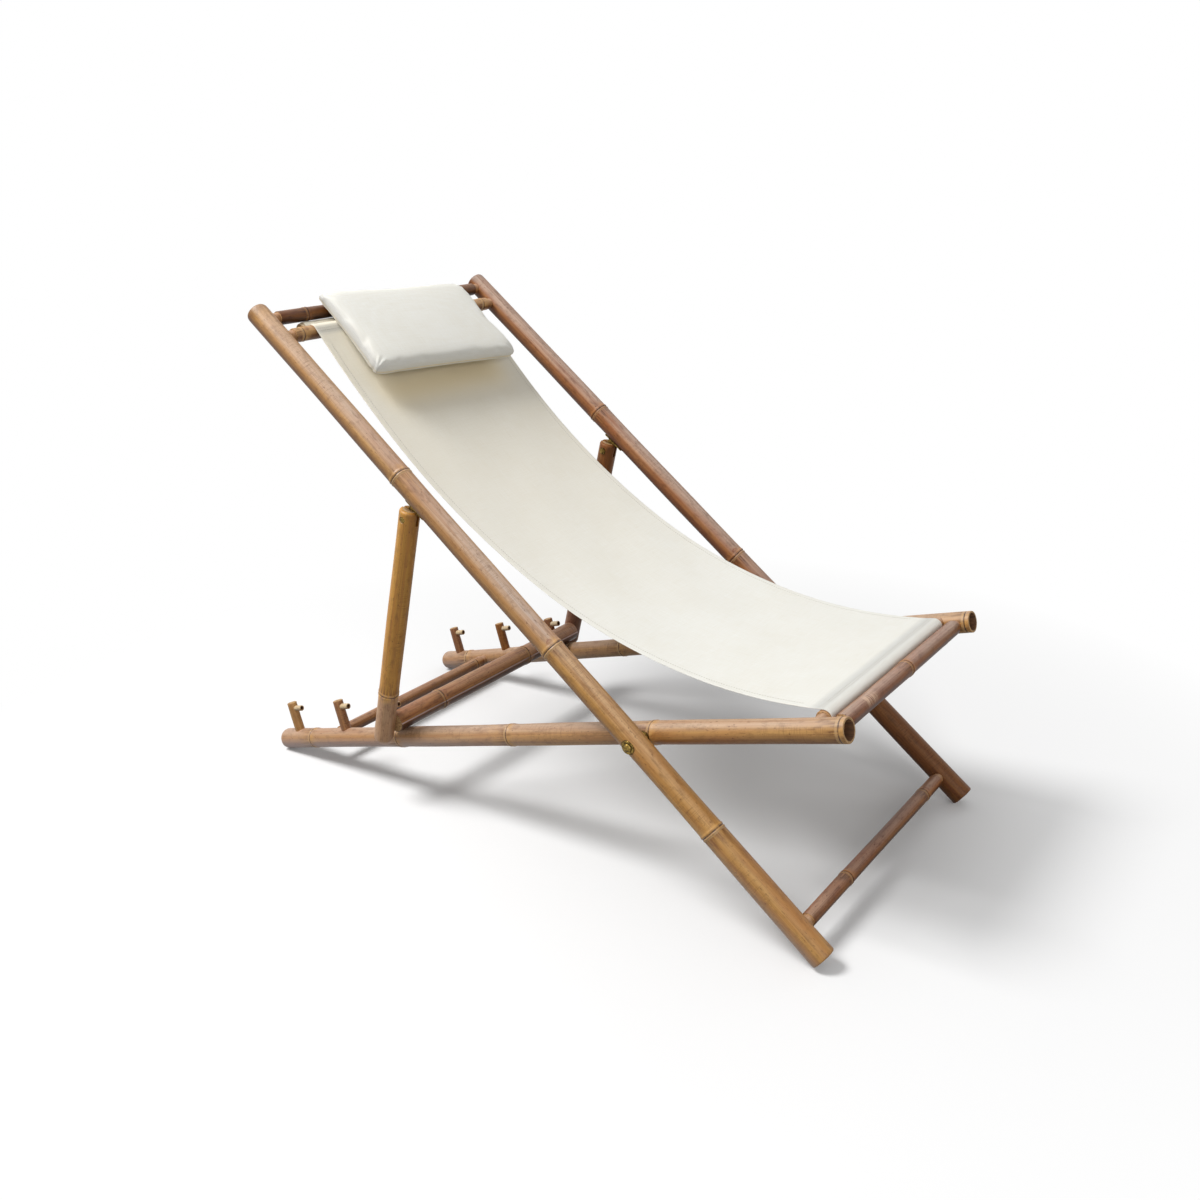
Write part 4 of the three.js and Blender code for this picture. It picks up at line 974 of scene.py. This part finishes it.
for label, centre, body in (("head", head_dowel, "back_frame"), ("front", front_dowel, "base_frame")):
    middle = Matrix.Translation((centre.x * MM, 0, centre.y * MM))
    dowel = cane(
        f"hem_stick_{label}", middle, "Y", (0, -SLING_HALF_WIDTH - 6, 0), 2 * SLING_HALF_WIDTH + 12, DOWEL_RADIUS, [],
        111, PALE, bores=(4.5, 4.5), depths=(20, 20), wander=0, columns=32,
    )
    place_piece(dowel, body, "pale_wood", f"sling_dowel_{label}")


# ---- pillow ----
half_long, half_wide = 94, 174
PILLOW = (
    BACK
    @ Matrix.Translation(Vector((HEAD_BAR[0], 0, 0)) * MM)
    @ Matrix.Rotation(math.radians(2), 4, "Y")
    @ Matrix.Translation(Vector((47, 5, BAR_RADIUS + 2 * GAP + CLOTH + 3)) * MM)
    @ Matrix.Rotation(math.radians(-4), 4, "Z")
)


def pillow_shell(rows=31, columns=57):
    """The cover before it is filled: taller at its foot edge, with full sides between thin pointed corners."""
    vertices = []
    for face in (1, -1):
        for r in range(rows):
            for c in range(columns):
                v, u = (math.sin(math.pi / 2 * (2 * i / (many - 1) - 1)) for i, many in ((r, rows), (c, columns)))
                corner = abs(u * v) ** 7
                wall = (12 + 3 * (v + 1) / 2) * (1 - 0.35 * corner)
                swell = math.sqrt(max(0, (1 - abs(u) ** 12) * (1 - abs(v) ** 7)))
                crown = 7.5 * swell + 4 * (1 - u * u) * (1 - v * v)
                z = wall * 0.5 + face * (wall * 0.5 + (crown if face > 0 else 2.5 * swell))
                x = v * (half_long - 2 * (1 - u * u) - 3 * corner + (8 if v > 0 else 5))
                y = u * (half_wide + 1 - 2.5 * (1 - v * v) - 3 * corner) + 5 * max(u, 0) * max(v, 0)
                vertices.append(Vector((x, y, z)) * MM)
    return vertices, shell_faces(rows, columns)


def fill(piece, cap, frames, pressure=4.0):
    """Swells a closed cover by cloth pressure and keeps each point within cap of where it was."""
    before = positions(piece)
    cloth_ = piece.modifiers.new("cloth", "CLOTH")
    settings = dict(
        quality=5, use_pressure=True, uniform_pressure_force=pressure,
        tension_stiffness=15, compression_stiffness=15, bending_stiffness=0.6,
    )
    for key, value in settings.items():
        setattr(cloth_.settings, key, value)
    cloth_.settings.effector_weights.gravity = 0
    cloth_.collision_settings.use_collision = False
    cloth_.point_cache.frame_start, cloth_.point_cache.frame_end = 1, frames
    for number in range(1, frames + 1):
        bpy.context.scene.frame_set(number)
    evaluated = piece.evaluated_get(bpy.context.evaluated_depsgraph_get())
    after = np.array([v.co for v in evaluated.data.vertices])
    piece.modifiers.remove(cloth_)
    bpy.context.scene.frame_set(1)
    moved = after - before
    size = np.linalg.norm(moved, axis=1)
    moved *= np.minimum(1, cap * MM / np.maximum(size, 1e-9))[:, None]
    set_positions(piece, before + moved)


pillow = new_piece("head_pillow", *pillow_shell(), [CANVAS])
apply_modifier(pillow, "REMESH", mode="VOXEL", voxel_size=0.004)
fill(pillow, 4, 16)
apply_modifier(pillow, "SMOOTH", factor=0.5, iterations=5)
apply_modifier(pillow, "SUBSURF", levels=1, render_levels=1)
shade_faces(pillow.data, True)

# The seam low on the pillow's sides, and the small folds that run from it at the corners; the seam groove is also
# coloured with painted shade, and the near side with painted grey shade
co = positions(pillow)
normals = np.array([v.normal for v in pillow.data.vertices])
long_, wide_ = co[:, 0] / MM, co[:, 1] / MM
seam_height = 3.2 + 1.6 * (long_ + half_long) / (2 * half_long)
on_side = np.clip((0.85 - np.abs(normals[:, 2])) / 0.25, 0, 1)
groove = on_side * hump(co[:, 2] / MM, seam_height, 1.7)
corner_x, corner_y = half_long - np.abs(long_), half_wide - np.abs(wide_)
from_corner = np.hypot(corner_x, corner_y)
bearing = np.arctan2(corner_y, corner_x)
fold = np.sin(13 * bearing + np.sign(long_) + 2 * np.sign(wide_)) * hump(from_corner, 16, 11)
co += normals * ((0.75 * fold - 1.3 * groove) * MM)[:, None]
set_positions(pillow, co)
give(pillow, "weave", co)
# painted shade in the seam groove
give(pillow, "shade", groove)
# painted grey shade on the near side, which faces the key lamp
give(pillow, "painted_grey_shade", 0.7 * on_side * np.clip(-normals[:, 1] + 0.3, 0, 1))
pillow.data.transform(PILLOW)
place_piece(pillow, "back_frame", "canvas", "pillow")


# ---- floor, light and background ----
def behind_rays(n):
    """1 for rays that see the background: the camera's, and those of gloss and glass."""
    rays = n.tree.nodes.new("ShaderNodeLightPath").outputs
    total = n.math("MAXIMUM", rays["Is Camera Ray"], rays["Is Glossy Ray"])
    return n.math("MAXIMUM", total, rays["Is Transmission Ray"])


world = bpy.data.worlds.new("studio")
bpy.context.scene.world = world
n = Nodes(world)
n.tree.nodes.clear()
light, seen = (n.add("ShaderNodeBackground", 0, {"Color": (1, 1, 1), "Strength": power}) for power in (0.32, 1.0))
mixed = n.add("ShaderNodeMixShader", 0, {0: behind_rays(n), 1: light, 2: seen})
n.put(n.tree.nodes.new("ShaderNodeOutputWorld").inputs[0], mixed)

FLOOR = 9
corners = [(-FLOOR, -FLOOR, 0), (FLOOR, -FLOOR, 0), (FLOOR, FLOOR, 0), (-FLOOR, FLOOR, 0)]
n = Nodes(bpy.data.materials.new("floor_pale"))
floor = new_piece("floor", corners, [(0, 1, 2, 3)], [n.owner], smooth=False)
floor.location.z = -0.0004
seen = behind_rays(n)
n.finish(n.mix(seen, (0.14, 0.14, 0.13), (0.94, 0.94, 0.94)), 0.9, Specular_IOR_Level=0.1)
glow = n.add("ShaderNodeEmission", 0, {"Color": (1, 1, 1), "Strength": 1.0})
distance = n.add("ShaderNodeVectorMath", "Value", {0: n.add("ShaderNodeNewGeometry", "Position")}, operation="LENGTH")
painted_highlight_or_floor_fade = n.times(n.range(distance, 0.6, 1.4), seen)
mixed = n.add("ShaderNodeMixShader", 0, {0: painted_highlight_or_floor_fade, 1: n.shader.outputs[0], 2: glow})
n.put(n.tree.nodes["Material Output"].inputs[0], mixed)


def lamp(name, place, aim, size, power):
    data = bpy.data.lights.new(name, "AREA")
    data.shape, data.size, data.energy = "DISK", size, power
    made = bpy.data.objects.new(name, data)
    bpy.context.scene.collection.objects.link(made)
    made.location = place
    made.rotation_euler = (Vector(aim) - Vector(place)).to_track_quat("-Z", "Y").to_euler()


lamp("key", (-1.6, -1.55, 3.65), (0, 0, 0.4), 1.6, 141)
lamp("fill", (2.8, -1.6, 1.7), (0, 0, 0.4), 2.0, 26)
lamp("rim", (0.4, 2.8, 2.4), (0, 0, 0.4), 2.0, 10)

bpy.context.scene.view_settings.view_transform = "Standard"
